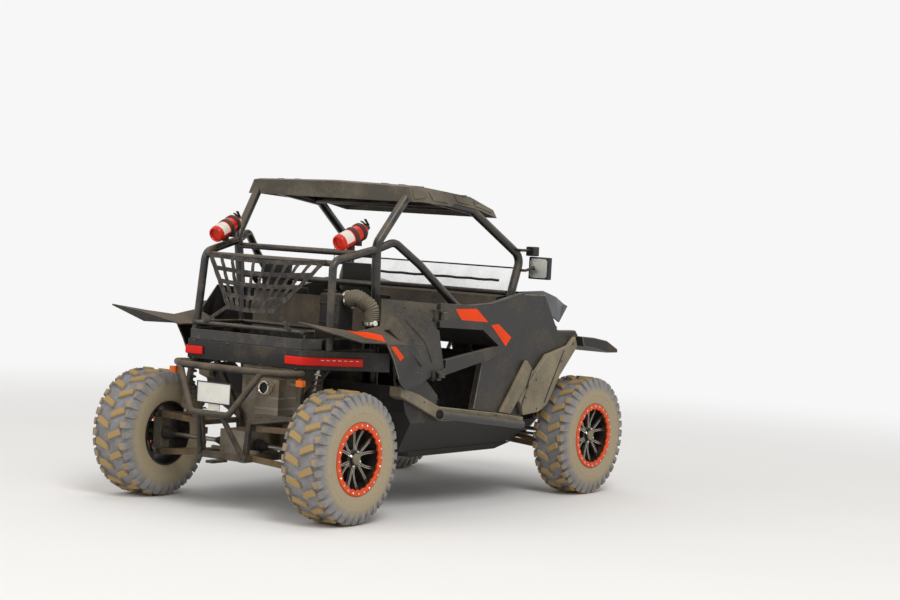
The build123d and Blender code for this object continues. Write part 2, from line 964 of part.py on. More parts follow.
def seat_pads():
    cushion = side_plate(cushion_outline, seat_y - 220, seat_y + 220)
    back = side_plate(back_outline, seat_y - 205, seat_y + 205)
    head = side_plate(head_outline, seat_y - 90, seat_y + 90)
    return [cushion, back, head]


def harness():
    # two straps over the harness bar, the shell's top edge and the back pad
    x, _, z = harness_joint
    over_bar = [(x - 4, z + 17.4), (x + 4, z + 17.2), (x + 11.5, z + 13.6)]
    path = over_bar + [(-590, 1184), (-576, 1182.3), (-480, 1140.4), (-403.6, 572)]
    strap = ribbon(path, 0.4, 3.4)
    return [side_plate(strap, seat_y + low, seat_y + low + 46) for low in (-150, 104)]


tray_wall = 56


def cargo_bed():
    corner_x = along(-1060)
    half = [(along(-712), 440), (corner_x, 440), (tail_x - 2, 388)]
    inner = [(along(-720), 432), (corner_x + 3, 432), (tail_x + 6, 383)]
    outline = half + [(x, -y) for x, y in half[::-1]]
    inside = inner + [(x, -y) for x, y in inner[::-1]]
    tray = top_plate(outline, deck_floor, deck_floor + tray_wall)
    return tray - top_plate(inside, deck_floor + skin, deck_floor + tray_wall + 20)


rack_z = deck_floor + tray_wall + 34
rack_y = 382
rack_front_x = along(-746)
rack_rear_x = along(-1146)


def rack():
    # a low ring of tube on posts over the tray, open on the right where the air box stands
    rods = []
    low = deck_floor + skin + seat_gap
    high = rack_z - rack_tube - 2 * seat_gap
    spans = [(1, rack_front_x, rack_rear_x), (-1, rack_front_x, along(-773)), (-1, along(-938), rack_rear_x)]
    for side, front, rear in spans:
        y = side * rack_y
        rods.append(tube([(front + 12, y, rack_z), (rear - 12, y, rack_z)], rack_tube))
        for x in (front, rear + 14):
            rods.append(box((x - 7, y - 7, low), (x + 7, y + 7, high)))
    reach = rack_y - rack_tube - seat_gap
    for x in (rack_front_x, rack_rear_x):
        rods.append(tube([(x, -reach, rack_z), (x, reach, rack_z)], rack_tube))
    return rods


tail_path = [(along(-800), 700), (along(-885), 612), (tail_x, tail_flat_y), (tail_x, 0)]
tail_low_z = 782
tail_high_z = 884


def tail_panel():
    half = top_plate(ribbon(tail_path, -4, 4), tail_low_z, tail_high_z)
    return half + twin(half)


def tail_lamp():
    path = [(along(-905), 597), (tail_x, tail_flat_y), (tail_x, 290)]
    return top_plate(ribbon(path, -17, -4 - seat_gap), 806, 850)


# Rear fender blade corners, each of x, y and z
blade_corners = [
    (-drawn_axle_x - overhang, 645, 1060),
    (-1330, 704, 1010),
    (-1139, 764, 959),
    (-893, 746, 947),
    (-1250, 640, 1024),
    (-1030, 640, 1000),
    (-825, 650, 1028),
    (-1330, 605, 1020),
    (-1165, 470, 962),
    (-840, 458, 962),
]
blade_triangles = [
    (0, 4, 1),
    (1, 4, 2),
    (4, 5, 2),
    (2, 5, 3),
    (5, 6, 3),
    (0, 7, 4),
    (7, 8, 4),
    (8, 5, 4),
    (8, 9, 5),
    (9, 6, 5),
]


def rear_fender():
    corners = [(along(x), y, z) for x, y, z in blade_corners]
    blade = moulding(corners, blade_triangles, (0, 0, -blade_skin))
    return blade - tube([stay_bend, stay_foot], stay_tube + seat_gap)


hoop_low = (along(-1424), 129, 525)
hoop_high = (along(-1354), 286, 763)
cross_corner = (along(-1214), 435, 760)


def rear_bumper():
    corner = cross_corner
    leg_at = at_height(rear_leg[2], rear_leg[3], corner[2])
    start = between(leg_at, corner, 0.42)
    half = [start, corner, hoop_high]
    cross = tube(half + right_of(half[::-1]), bumper_tube, 30)
    top = hoop_high[2] - bumper_tube - seat_gap
    hoop = tube([hoop_high, hoop_low] + right_of([hoop_low, hoop_high]), hoop_tube, 40)
    pieces = [cross, below(hoop, top)]
    for side in (1, -1):
        joint = (hoop_low[0], side * 80, hoop_low[2])
        foot = (along(-1300), side * 150, rail_z - 22)
        leg = tube([stop_short(joint, foot, (0, 1, 0), hoop_tube, leg_tube), foot], leg_tube)
        end_x = rear_end - frame_overhang - seat_gap
        pieces.append(largest(leg - box((end_x, -300, 200), (end_x + 120, 300, 400))))
    return pieces


def licence_plate():
    foot_z = hoop_low[2] + hoop_tube + seat_gap
    plate_x = hoop_low[0] + 31
    blank = box((plate_x - 5, -115, 578), (plate_x, 115, 686))
    strap = box((plate_x, -40, foot_z), (plate_x + 5, 40, 640))
    foot = box((hoop_low[0] - 10, -40, foot_z), (plate_x + 5, 40, foot_z + 4))
    return blank + strap + foot


def turn_lamp():
    # an amber lamp under the end of the cross tube, turned to the rear
    x, y, z = cross_corner
    top = z - bumper_tube - seat_gap
    lamp = box((x - 26, y - 14, top - 44), (x + 4, y + 32, top - 8))
    return lamp + box((x - 8, y - 14, top - 10), (x + 4, y - 2, top))


muffler_y = -304


def muffler():
    back = along(-1232)
    can = box((back, muffler_y, 530), (back + 152, -145, 722))
    tip = rod((back + 7, -235, 672), (back - 46, -235, 678), 34)
    tip = tip - rod((back - 20, -235, 675), (back - 50, -235, 678.4), 28)
    leg = at_height(rear_leg[2], rear_leg[3], 700)
    strap = box((leg[0] - 10, -leg[1], 692), (leg[0] + 10, muffler_y + 5, 704))
    strap = largest(strap - twin(beam(rear_leg, brace_half + seat_gap)))
    return can + tip + strap


def engine():
    block = box((along(-960), -180, floor_z + 18), (along(-701), 180, 760))
    ears = box((along(-790), -262, floor_z), (along(-750), 262, floor_z + 20))
    return block + ears


def gearcases():
    cases = []
    for low_x, high_x in ((along(-1215), along(-965)), (along(1080), along(1205))):
        case = box((low_x, -100, axle_z - 65), (high_x, 100, axle_z + 75))
        ear = box((low_x, -arm_rail_y - 10, floor_z), (low_x + 20, arm_rail_y + 10, floor_z + 18))
        cases.append(case + ear)
    return cases


duct_radius = 46
duct_path = [
    (along(-850), -431, 1150),
    (along(-850), -500, 1170),
    (along(-808), -560, 1120),
    (along(-800), -566, 1020),
]


def air_intake():
    low = deck_floor + skin + seat_gap
    canister = box((along(-920), -430, low), (along(-790), -300, 1180))
    start = Plane(origin=duct_path[0], z_dir=direction(*duct_path[:2]))
    duct = sweep(start * RegularPolygon(duct_radius, 12), path=Polyline(*duct_path), transition=Transition.RIGHT)
    return [canister, largest(duct - box((along(-1000), -430.3, 1000), (along(-701), -300, 1300)))]


bottle_base = (along(-956), 432, 1450)
bottle_head = (along(-760), 452, 1530)
bottle_radius = 46


def extinguisher():
    run = Vector(*direction(bottle_base, bottle_head)).normalized()
    head = Vector(*bottle_head)
    bottle = tube([bottle_base, bottle_head], bottle_radius)
    neck = tube([head, head + run * 34], 17)
    tip = head + run * 30
    lever = box((tip.X - 12, tip.Y - 7, tip.Z - 6), (tip.X + 20, tip.Y + 7, tip.Z + 42))
    joint = between(stay_joint, stay_bend, 0.6)
    middle = between(bottle_base, bottle_head, 0.4)
    start = stop_short(joint, middle, direction(stay_joint, stay_bend), stay_tube, 8)
    saddle = beam([start, middle], 10)
    return fused([bottle, neck, lever, saddle])


def mirror_set():
    joint = at_height(pillar_base, pillar_kink, 1330)
    start = stop_short(joint, (joint[0], 700, joint[2]), direction(pillar_base, pillar_kink), cage_tube, 8)
    arm = beam([start, (joint[0], 676, joint[2]), (572, 690, 1350)], 8)
    return box((556, 652, 1282), (594, 788, 1410)) + arm


def pod_lamp():
    joint = between(pillar_kink, rail_front, 0.16)
    start = stop_short(joint, (joint[0], 700, joint[2]), direction(pillar_kink, rail_front), cage_tube, 8)
    arm = beam([start, (joint[0], 672, joint[2]), (540, 672, joint[2])], 8)
    return box((522, 650, 1414), (582, 704, 1468)) + arm


net_skin = 3


def rear_net():
    # webbing in one sloping plane, from the rear bar down to the rack
    bar_x, _, bar_z = rear_bar_joint
    slope = Vector(rack_rear_x - bar_x, 0, rack_z - bar_z)
    down = slope.normalized()
    out = Vector(down.Z, 0, -down.X)
    top = Vector(bar_x, 0, bar_z) + out * (bar_tube + seat_gap)
    end = Vector(rack_rear_x, 0, rack_z) + out * (rack_tube + seat_gap)
    run = (end - top).normalized()
    length = (end - top).length
    seat = Plane(origin=top, x_dir=(0, 1, 0), z_dir=(run.Z, 0, -run.X))
    low = length * 0.72
    half = [(0, -12), (405, -12), (405, 40), (172, low), (318, length), (282, length + 6), (120, low), (0, low)]
    outline = half + [(-y, v) for y, v in half[-2:0:-1]]
    sheet = make_face(Polyline(*outline, close=True))
    for row in range(3):
        for column in range(-3, 4):
            if abs(column) <= 3 - row:
                sheet = sheet - Pos(column * 98, 54 + row * 82) * Rectangle(74, 58)
    return seat * extrude(sheet, amount=net_skin)


def wishbone(side_x, inner_y, inner_z, ball_y, ball_z, bridge):
    total = Pos(side_x, ball_y, ball_z) * Box(2 * boss_radius, 2 * boss_radius, boss_height)
    for reach in (-1, 1):
        pivot_x = side_x + reach * (arm_half_base - 28)
        run = [(pivot_x, inner_y), (side_x + reach * 24, ball_y - 34), (side_x, ball_y - 8)]
        plan = ribbon(run, -arm_width / 2, arm_width / 2)
        face = polygon([(x, y, inner_z + (ball_z - inner_z) * (y - inner_y) / (ball_y - inner_y)) for x, y in plan])
        leg = extrude(face, amount=arm_depth / 2, dir=(0, 0, 1), both=True)
        total = total + leg
    if bridge:
        middle = ball_y - bridge_inset
        low = (side_x - 62, middle - bridge_half, ball_z - 14)
        total = total + box(low, (side_x + 62, middle + bridge_half, ball_z + 14))
    total = total - box((side_x - 200, inner_y - 30, ball_z - 60), (side_x + 200, inner_y, ball_z + 120))
    return total - Pos(side_x, ball_y, ball_z) * Cylinder(stud_radius + running_gap, boss_height + 40)


def lower_arm(side_x, ball_y):
    return wishbone(side_x, arm_rail_y + frame_half + seat_gap, rail_z, ball_y, ball_lower_z, False)


def upper_arm(side_x, ball_y):
    return wishbone(side_x, upper_rail_y + brace_half + seat_gap, upper_rail_z, ball_y, ball_upper_z, True)


def upright(side_x, ball_y):
    low = ball_lower_z + boss_height / 2 + 6
    high = ball_upper_z - boss_height / 2 - 2
    post = box((side_x - 34, ball_y - post_radius, low), (side_x + 34, ball_y + post_radius, high))
    studs = upright_rod(side_x, ball_y, low - boss_height - 5, high + boss_height + 1, stud_radius)
    spindle = rod((side_x, ball_y, axle_z), (side_x, half_width - spoke_inset - 4, axle_z), hub_bore - running_gap)
    return post + studs + spindle


def knuckle():
    arm_low = rod_z - rod_radius - 2 - 12
    tip_x = front_axle_x - steer_arm
    arm = box((tip_x - 12, kingpin_y - 12, arm_low), (front_axle_x, kingpin_y + 12, arm_low + 12))
    return upright(front_axle_x, kingpin_y) + arm


def tie_rods():
    x = front_axle_x - steer_arm
    return rod((x, -kingpin_y, rod_z), (x, kingpin_y, rod_z), rod_radius)


def rack_housing():
    x = front_axle_x - steer_arm
    radius = rod_z - rail_top - seat_gap
    housing = rod((x, -180, rod_z), (x, 180, rod_z), radius)
    return housing - rod((x, -190, rod_z), (x, 190, rod_z), rod_radius + running_gap)


# Half shaft boots, each of distance from the near end and radius
boot = [(0, 36), (36, 36), (60, 24), (92, 14)]
boot_sides = 12


def half_shaft(side_x, outer_y):
    inner_y = 100 + seat_gap
    stations = [(inner_y + distance, radius) for distance, radius in boot]
    stations += [(outer_y - distance, radius) for distance, radius in boot[::-1]]
    turns = [2 * math.pi * step / boot_sides for step in range(boot_sides)]
    rings = [[(side_x + r * math.cos(turn), y, axle_z + r * math.sin(turn)) for turn in turns] for y, r in stations]
    return skinned(rings)


damper_radius = 13
spring_radius = 28


def coilover(bottom, top):
    low = Vector(*bottom)
    run = Vector(*top) - low
    unit = run.normalized()
    lift = damper_radius * math.sqrt(1 - unit.Z ** 2) / unit.Z
    body = tube([low + unit * lift, low + unit * (run.length - lift)], damper_radius)
    spring = tube([low + unit * 50, low + unit * (run.length - 100)], spring_radius)
    return body + spring


def coilovers():
    low_z = ball_upper_z + 14 + seat_gap
    front_x, front_y, _ = nose_rail_at(front_axle_x)
    front_top = nose_rail_at(front_axle_x + 14)[2] - brace_half - 2 * seat_gap
    front_foot = (front_axle_x, kingpin_y - bridge_inset, low_z)
    rear_foot = (rear_axle_x + 10, rear_ball_y - bridge_inset, low_z)
    front = coilover(front_foot, (front_x, front_y, front_top))
    rear = coilover(rear_foot, (along(-1060), 436, deck_z - deck_half - seat_gap))
    return [front, rear]


def wheel_place(axle_x, width):
    return Plane(origin=(axle_x, half_width - width / 2, axle_z), x_dir=(1, 0, 0), z_dir=(0, 1, 0))


def tyre(axle_x, width):
    half = width / 2
    base = tyre_radius - lug_height
    ring_seat = ring_radius + seat_gap
    recess = half - ring_inset - ring_thickness - seat_gap
    profile = [
        (rim_radius, 14 - half),
        (rim_radius + 30, 5 - half),
        (tyre_radius - 80, -half),
        (base, shoulder - half),
        (base, half - shoulder),
        (tyre_radius - 80, half),
        (ring_seat, half),
        (ring_seat, recess),
        (rim_radius, recess),
    ]
    flat = math.cos(math.pi / wheel_sides)
    spread = [(radius / flat if radius > ring_seat else radius, height) for radius, height in profile]
    carcass = faceted(spread, wheel_sides)
    lug = [
        (lug_sweep - lug_length / 2, 6),
        (lug_sweep + lug_length / 2, 6),
        (lug_length / 2 - lug_sweep, half - shoulder - 2),
        (-lug_length / 2 - lug_sweep, half - shoulder - 2),
    ]
    lugs = []
    for step in range(wheel_sides):
        side = 1 if step % 2 else -1
        block = cross_plate([(across, side * out) for across, out in lug], base - 12, tyre_radius)
        lugs.append(Rot(0, 0, step * 360 / wheel_sides) * block)
    return wheel_place(axle_x, width) * (carcass + lugs)


def rim(axle_x, width):
    half = width / 2
    inner = rim_radius - rim_wall
    outer = rim_radius - seat_gap
    lip = half - ring_inset - ring_thickness - seat_gap
    face = half - spoke_inset
    barrel = faceted([(inner, 10 - half), (outer, 10 - half), (outer, lip), (inner, lip)], wheel_sides)
    back = face - hub_length
    hub = faceted([(hub_bore - 5, back), (hub_radius, back), (hub_radius, face), (hub_bore - 5, face)], hub_sides)
    spokes = []
    for index in range(spoke_count):
        length = inner - hub_radius + 10
        spoke = Pos((hub_radius + inner) / 2, 0, face - spoke_thickness / 2) * Box(length, 16, spoke_thickness)
        spokes.append(Rot(0, 0, index * 360 / spoke_count) * spoke)
    bore = Pos(0, 0, face - hub_length / 2) * Cylinder(hub_bore, hub_length + 20)
    return wheel_place(axle_x, width) * ((barrel + [hub] + spokes) - bore)


def beadlock_ring(axle_x, width):
    half = width / 2
    low = half - ring_inset - ring_thickness
    high = half - ring_inset
    inner = rim_radius - rim_wall - 16
    ring = faceted([(inner, low), (ring_radius, low), (ring_radius, high), (inner, high)], wheel_sides)
    return wheel_place(axle_x, width) * ring


left_cage = cage_side()
save("cage_left", *left_cage)
save("cage_right", *[twin(piece) for piece in left_cage])
save("cage_cross_bars", *cage_cross_bars())
save("lower_frame", lower_frame(), tow_tongue(rear_end - 12, -1), tow_tongue(front_end + 12, 1))
save("deck_frame", deck_frame())
save("cradles", *pair(*cradles()), rack_housing())
save("skid_plate", skid_plate())
save("floor_tub", floor_tub())
left_door = door()
save("door_left", left_door)
save("door_right", twin(left_door))
save("quarter_panels", *pair(quarter_panel(), lower_quarter()))
save("sills", *pair(sill()))
save("front_side_panels", *pair(front_side()))
save("footwell_panels", *pair(*footwell_panels()))
save("step_bars", *pair(step_bar()))
save("hood", hood())
save("front_fascia", front_fascia())
save("front_fenders", *pair(front_fender()))
save("headlamps", *pair(headlamp()))
save("front_bumper", *front_bumper())
save("dashboard", dashboard())
save("steering_wheel", steering_wheel())
save("windscreen", windscreen())
save("roof", roof())
save("seat_shells", *pair(seat_shell()))
save("seat_pads", *pair(*seat_pads()))
save("harnesses", *pair(*harness()))
save("cargo_bed", cargo_bed(), *rack())
save("tail_panel", tail_panel())
save("tail_lamps", *pair(tail_lamp()))
save("rear_fenders", *pair(rear_fender()))
save("rear_bumper", *rear_bumper())
save("licence_plate", licence_plate())
save("turn_lamps", *pair(turn_lamp()))
save("muffler", muffler())
save("engine", engine(), *gearcases())
save("air_intake", *air_intake())
save("rear_net", rear_net())
save("extinguishers", *pair(extinguisher()))
save("mirrors", *pair(mirror_set(), pod_lamp()))
save("front_arms", *pair(lower_arm(front_axle_x, kingpin_y), upper_arm(front_axle_x, kingpin_y)))
save("rear_arms", *pair(lower_arm(rear_axle_x, rear_ball_y), upper_arm(rear_axle_x, rear_ball_y)))
save("rear_uprights", *pair(upright(rear_axle_x, rear_ball_y)))
front_joint_y = kingpin_y - post_radius - steer_room
rear_joint_y = rear_ball_y - post_radius - seat_gap
save("half_shafts", *pair(half_shaft(front_axle_x, front_joint_y), half_shaft(rear_axle_x, rear_joint_y)))
save("coilovers", *pair(*coilovers()))
left_knuckle = knuckle()
save("knuckle_left", left_knuckle)
save("knuckle_right", twin(left_knuckle))
save("tie_rods", tie_rods())

# wheels, each of name, axle place and tyre width
for name, axle_x, width in (("front", front_axle_x, front_tyre_width), ("rear", rear_axle_x, rear_tyre_width)):
    for kind, shape in (
        ("tyre", tyre(axle_x, width)),
        ("rim", rim(axle_x, width)),
        ("ring", beadlock_ring(axle_x, width)),
    ):
        save(kind + "_" + name + "_left", shape)
        save(kind + "_" + name + "_right", twin(shape))
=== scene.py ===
import bpy
import bmesh
import json
import math
from mathutils import Matrix, Vector
from mathutils.bvhtree import BVHTree


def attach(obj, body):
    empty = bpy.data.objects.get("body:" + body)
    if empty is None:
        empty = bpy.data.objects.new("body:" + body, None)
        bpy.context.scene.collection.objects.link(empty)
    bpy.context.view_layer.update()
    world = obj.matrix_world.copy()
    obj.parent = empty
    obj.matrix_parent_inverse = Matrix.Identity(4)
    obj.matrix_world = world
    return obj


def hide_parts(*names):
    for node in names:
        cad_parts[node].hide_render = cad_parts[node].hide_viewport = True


# Dune buggy, a two-seat sport side-by-side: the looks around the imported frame. Metres, X forward, Y left, Z up.
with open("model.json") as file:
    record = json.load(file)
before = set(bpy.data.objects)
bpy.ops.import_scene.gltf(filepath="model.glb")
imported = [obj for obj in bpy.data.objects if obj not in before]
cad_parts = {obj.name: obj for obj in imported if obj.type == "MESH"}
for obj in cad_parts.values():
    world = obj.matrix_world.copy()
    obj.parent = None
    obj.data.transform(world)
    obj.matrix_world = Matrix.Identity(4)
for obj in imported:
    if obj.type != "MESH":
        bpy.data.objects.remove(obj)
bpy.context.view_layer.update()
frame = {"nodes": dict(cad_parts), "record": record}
record = frame["record"]
scene = bpy.context.scene
sides = ((1, "left"), (-1, "right"))
print("frame loaded", len(frame["nodes"]), "nodes")

# the camera stands where the photograph was taken
cameraView = {
    "azimuth": -54.66,
    "elevation": 2.56,
    "roll": 3.06,
    "distance": 13.75,
    "target": (0.70743, 0.0, 1.11173),
    "lens": 91.455,
    "sensor": 36,
    "farthest": 100,
}


def placeCamera():
    turn = math.radians(cameraView["azimuth"])
    lift = math.radians(cameraView["elevation"])
    roll = math.radians(cameraView["roll"])
    back = Vector((math.sin(turn) * math.cos(lift), -math.cos(turn) * math.cos(lift), math.sin(lift)))
    level = Vector((0, 0, 1)).cross(back).normalized()
    above = back.cross(level)
    right = level * math.cos(roll) + above * math.sin(roll)
    up = above * math.cos(roll) - level * math.sin(roll)
    lens = bpy.data.cameras.new("camera")
    lens.sensor_width = cameraView["sensor"]
    lens.lens = cameraView["lens"]
    lens.clip_end = cameraView["farthest"]
    camera = bpy.data.objects.new("camera", lens)
    scene.collection.objects.link(camera)
    place = Vector(cameraView["target"]) + back * cameraView["distance"]
    camera.matrix_world = Matrix((
        (right.x, up.x, back.x, place.x),
        (right.y, up.y, back.y, place.y),
        (right.z, up.z, back.z, place.z),
        (0, 0, 0, 1),
    ))
    scene.camera = camera


placeCamera()
scene.view_settings.view_transform = "Standard"


# finishes, each mixed from the bare material and its film of dust
film = {
    "roughness": 0.92,
    "grit": 0.011,
    "gritShare": 0.35,
    "thin": 0.98,
    "full": 1.45,
    "reach": 0.7,
    "dark": 0.72,
    "light": 1.25,
    "relief": 0.002,
}


def hexToLinear(text):
    values = [int(text[at:at + 2], 16) / 255 for at in (1, 3, 5)]
    linear = [v / 12.92 if v <= 0.04045 else ((v + 0.055) / 1.055) ** 2.4 for v in values]
    return (*linear, 1.0)


def wire(tree, node, links):
    # a link comes from a socket, from the first output of a node, or from an input of the tree by its name
    for key, source in links.items():
        if isinstance(source, str):
            source = tree.nodes["Group Input"].outputs[source]
        elif hasattr(source, "outputs"):
            source = source.outputs[0]
        tree.links.new(source, node.inputs[key])


def addNode(tree, kind, settings=None, links=None):
    node = tree.nodes.new(kind)
    for key, value in (settings or {}).items():
        if isinstance(key, str) and hasattr(node, key):
            setattr(node, key, value)
        else:
            node.inputs[key].default_value = value
    wire(tree, node, links or {})
    return node


def newMaterial(name, settings):
    material = bpy.data.materials.new(name)
    material.use_nodes = True
    tree = material.node_tree
    shader = tree.nodes["Principled BSDF"]
    for key, value in settings.items():
        shader.inputs[key].default_value = value
    place = addNode(tree, "ShaderNodeTexCoord").outputs["Object"]
    return material, tree, shader, place


def dustMask(tree, place, amount, upward, patch):
    # dust lies in patches, thicker where the surface faces up
    broad = addNode(
        tree, "ShaderNodeTexNoise", {"Scale": 1 / patch, "Detail": 6, "Roughness": 0.62}, {"Vector": place},
    )
    fine = addNode(tree, "ShaderNodeTexNoise", {"Scale": 1 / film["grit"], "Detail": 3}, {"Vector": place})
    normal = addNode(tree, "ShaderNodeNewGeometry").outputs["Normal"]
    facing = addNode(tree, "ShaderNodeSeparateXYZ", None, {0: normal})
    lying = addNode(tree, "ShaderNodeMath", {"operation": "MULTIPLY", 1: upward}, {0: facing.outputs["Z"]})
    both = addNode(tree, "ShaderNodeMath", {"operation": "ADD"}, {0: broad, 1: lying})
    rough = addNode(
        tree, "ShaderNodeMath", {"operation": "MULTIPLY_ADD", 1: film["gritShare"]}, {0: fine, 2: both},
    )
    shift = amount * film["reach"]
    limits = {"From Min": film["thin"] - shift, "From Max": film["full"] - shift}
    return addNode(tree, "ShaderNodeMapRange", limits, {"Value": rough})


def weathered(name, base, dust, roughness, metallic, amount, upward, patch, grain, depth, coat=0.0):
    # a finish under a film of dust: its own gloss shows where the film is thin
    material, tree, shader, place = newMaterial(name, {"Metallic": metallic, "Coat Weight": coat})
    cover = dustMask(tree, place, amount, upward, patch)
    tone = addNode(tree, "ShaderNodeTexNoise", {"Scale": 1 / (patch * 2.5), "Detail": 4}, {"Vector": place})
    shade = addNode(
        tree, "ShaderNodeMapRange", {"To Min": film["dark"], "To Max": film["light"]}, {"Value": tone},
    )
    own = addNode(tree, "ShaderNodeHueSaturation", {"Color": hexToLinear(base)}, {"Value": shade})
    mixed = addNode(tree, "ShaderNodeMix", {"data_type": "RGBA", 7: hexToLinear(dust)}, {0: cover, 6: own})
    gloss = addNode(
        tree, "ShaderNodeMapRange", {"To Min": roughness, "To Max": film["roughness"]}, {"Value": cover},
    )
    texture = addNode(tree, "ShaderNodeTexNoise", {"Scale": 1 / grain, "Detail": 3}, {"Vector": place})
    height = addNode(tree, "ShaderNodeMath", {"operation": "ADD"}, {0: texture, 1: cover})
    bump = addNode(tree, "ShaderNodeBump", {"Strength": depth, "Distance": film["relief"]}, {"Height": height})
    wire(tree, shader, {"Base Color": mixed.outputs[2], "Roughness": gloss, "Normal": bump})
    return material


dirt = "#6f614c"
# in each row: bare colour, dust colour, roughness, metallic, share of dust, how much more lies on upward faces,
# size of the patches and of the grain in metres, depth of the grain, and weight of a clear coat
looks = {
    # powder-coated steel tube: satin black with a brown film of dust on its upper side
    "powderCoatedTube": ("#1d1b19", dirt, 0.38, 0.0, 0.42, 0.34, 0.10, 0.003, 0.08, 0.25),
    # powder-coated steel chassis, low on the vehicle and caked by the wheels
    "powderCoatedChassis": ("#231f1b", dirt, 0.5, 0.0, 0.62, 0.25, 0.12, 0.005, 0.2),
    # injection-moulded black polypropylene: fine leather grain, dull where dusty
    "mouldedBlackPolypropylene": ("#151311", "#665844", 0.6, 0.0, 0.45, 0.3, 0.18, 0.004, 0.15),
    # painted polypropylene door skin: charcoal with a soft sheen
    "charcoalPolypropylene": ("#201d19", "#6a5e4a", 0.5, 0.0, 0.42, 0.22, 0.3, 0.006, 0.06, 0.05),
    # polypropylene panels beside the wheels, beaten and coated with pale sand
    "sandedPolypropylene": ("#5c5548", "#93876e", 0.6, 0.0, 0.75, 0.3, 0.2, 0.004, 0.18),
    # polypropylene edge, scuffed pale and dusted, and lightened further as a painted highlight where the edges
    # catch the light
    "paleEdgeWearAndHighlight": ("#5f594c", "#948870", 0.6, 0.0, 0.5, 0.3, 0.06, 0.003, 0.15),
    # painted hood: blue-black with a gloss coat
    "blueBlackPaint": ("#171a21", "#4d483f", 0.4, 0.0, 0.32, 0.16, 0.35, 0.008, 0.03, 0.15),
    # blow-moulded polyethylene roof: grey-brown, dull, streaked with dust
    "greyPolyethylene": ("#4a4439", "#857a66", 0.7, 0.0, 0.5, 0.22, 0.25, 0.005, 0.2),
    # cast aluminium, oxidised and oily with dust baked on
    "castAluminium": ("#8b8578", "#7c6a4d", 0.45, 0.85, 0.62, 0.25, 0.08, 0.003, 0.3),
    # forged and painted bronze-brown suspension arms
    "bronzeArmPaint": ("#5a4a38", "#8b7450", 0.5, 0.3, 0.6, 0.35, 0.10, 0.004, 0.2),
    # bright steel of shafts and studs, with a film of dust
    "turnedSteel": ("#9a978f", "#8a7757", 0.3, 1.0, 0.4, 0.3, 0.06, 0.002, 0.08),
    # powder-coated spring wire
    "springWire": ("#3d2c22", dirt, 0.35, 0.1, 0.45, 0.3, 0.05, 0.003, 0.1, 0.3),
    # heat-stained stainless steel of the silencer
    "stainedStainless": ("#8f8271", "#6b5538", 0.35, 0.9, 0.5, 0.2, 0.09, 0.003, 0.12),
    # ribbed duct of flexible polyurethane, filled with dust between its ribs
    "ductPolyurethane": ("#5d5748", "#857a62", 0.6, 0.0, 0.55, 0.3, 0.05, 0.003, 0.15),
    # enamelled steel bottle
    "redEnamel": ("#cc2408", "#9c5230", 0.28, 0.0, 0.18, 0.2, 0.09, 0.004, 0.04, 0.25),
    # printed vinyl, orange, laid on the panels
    "orangeVinyl": ("#f04400", "#b85a20", 0.5, 0.0, 0.16, 0.12, 0.14, 0.004, 0.04, 0.0),
    # anodised aluminium clamp ring, orange-red
    "anodisedRing": ("#e04c08", "#b0703c", 0.42, 0.3, 0.3, 0.0, 0.05, 0.003, 0.06),
    # painted alloy of the rims, black, with dust in the corners
    "blackAlloyPaint": ("#2b2825", "#5e5341", 0.35, 0.4, 0.4, 0.0, 0.05, 0.003, 0.08),
    # painted alloy of the spokes: bronze-black, a little metal in it
    "bronzeAlloyPaint": ("#5a5248", "#8a7c62", 0.3, 0.55, 0.35, 0.0, 0.05, 0.003, 0.06),
    # machined alloy on the spoke edges
    "machinedAlloy": ("#c9c3b6", "#938467", 0.25, 1.0, 0.3, 0.0, 0.04, 0.002, 0.05),
    # bright nickel-plated nuts and bolts
    "nickelPlate": ("#d8d4ca", "#a3936f", 0.18, 1.0, 0.2, 0.0, 0.03, 0.002, 0.03),
    # nitrile rubber of boots and grips
    "mouldedRubber": ("#1b1a19", "#5d5141", 0.7, 0.0, 0.4, 0.25, 0.06, 0.003, 0.2),
    # cast acrylic lens of the tail lamps, deep red and wet-looking
    "redAcrylic": ("#e01a04", "#8f3a22", 0.3, 0.0, 0.1, 0.2, 0.1, 0.006, 0.02, 0.08),
    # cast acrylic lens of the turn lamps
    "amberAcrylic": ("#e36a08", "#a06a3a", 0.25, 0.0, 0.15, 0.2, 0.1, 0.006, 0.02, 0.3),
    # silvered mirror glass
    "silveredGlass": ("#f1f0e4", "#b8b09c", 0.34, 1.0, 0.02, 0.0, 0.07, 0.006, 0.0),
    # polyester webbing, woven flat, dull black with dust in its ribs
    "polyesterWebbing": ("#262320", "#75695a", 0.85, 0.0, 0.42, 0.2, 0.06, 0.0022, 0.5),
    # headlamp cover of clear moulded polycarbonate over a bright bowl
    "lampPolycarbonate": ("#c9ced2", "#9a907c", 0.08, 0.3, 0.12, 0.2, 0.1, 0.006, 0.02, 1.0),
    # printed paper label, left blank
    "blankLabel": ("#e2d9cb", "#a08a70", 0.6, 0.0, 0.3, 0.1, 0.04, 0.003, 0.05),
    # woven seat cloth over foam, charcoal with a coarse rib
    "ribbedSeatCloth": ("#2c2c2e", "#6d6354", 0.9, 0.0, 0.35, 0.3, 0.12, 0.0025, 0.45),
    # vinyl of the seat bolsters, smoother and a little shiny
    "bolsterVinyl": ("#242325", "#6d6354", 0.5, 0.0, 0.35, 0.3, 0.12, 0.003, 0.2, 0.1),
    # cover glass of the display, switched off: near black and glossy
    "screenGlass": ("#101316", "#5b5446", 0.08, 0.0, 0.12, 0.2, 0.06, 0.004, 0.02, 0.6),
    # enamelled number plate, blank
    "whiteEnamel": ("#dcd9d0", "#a89a7c", 0.3, 0.0, 0.3, 0.1, 0.07, 0.004, 0.04, 0.3),
}
finishes = {name: weathered(name, *look) for name, look in looks.items()}
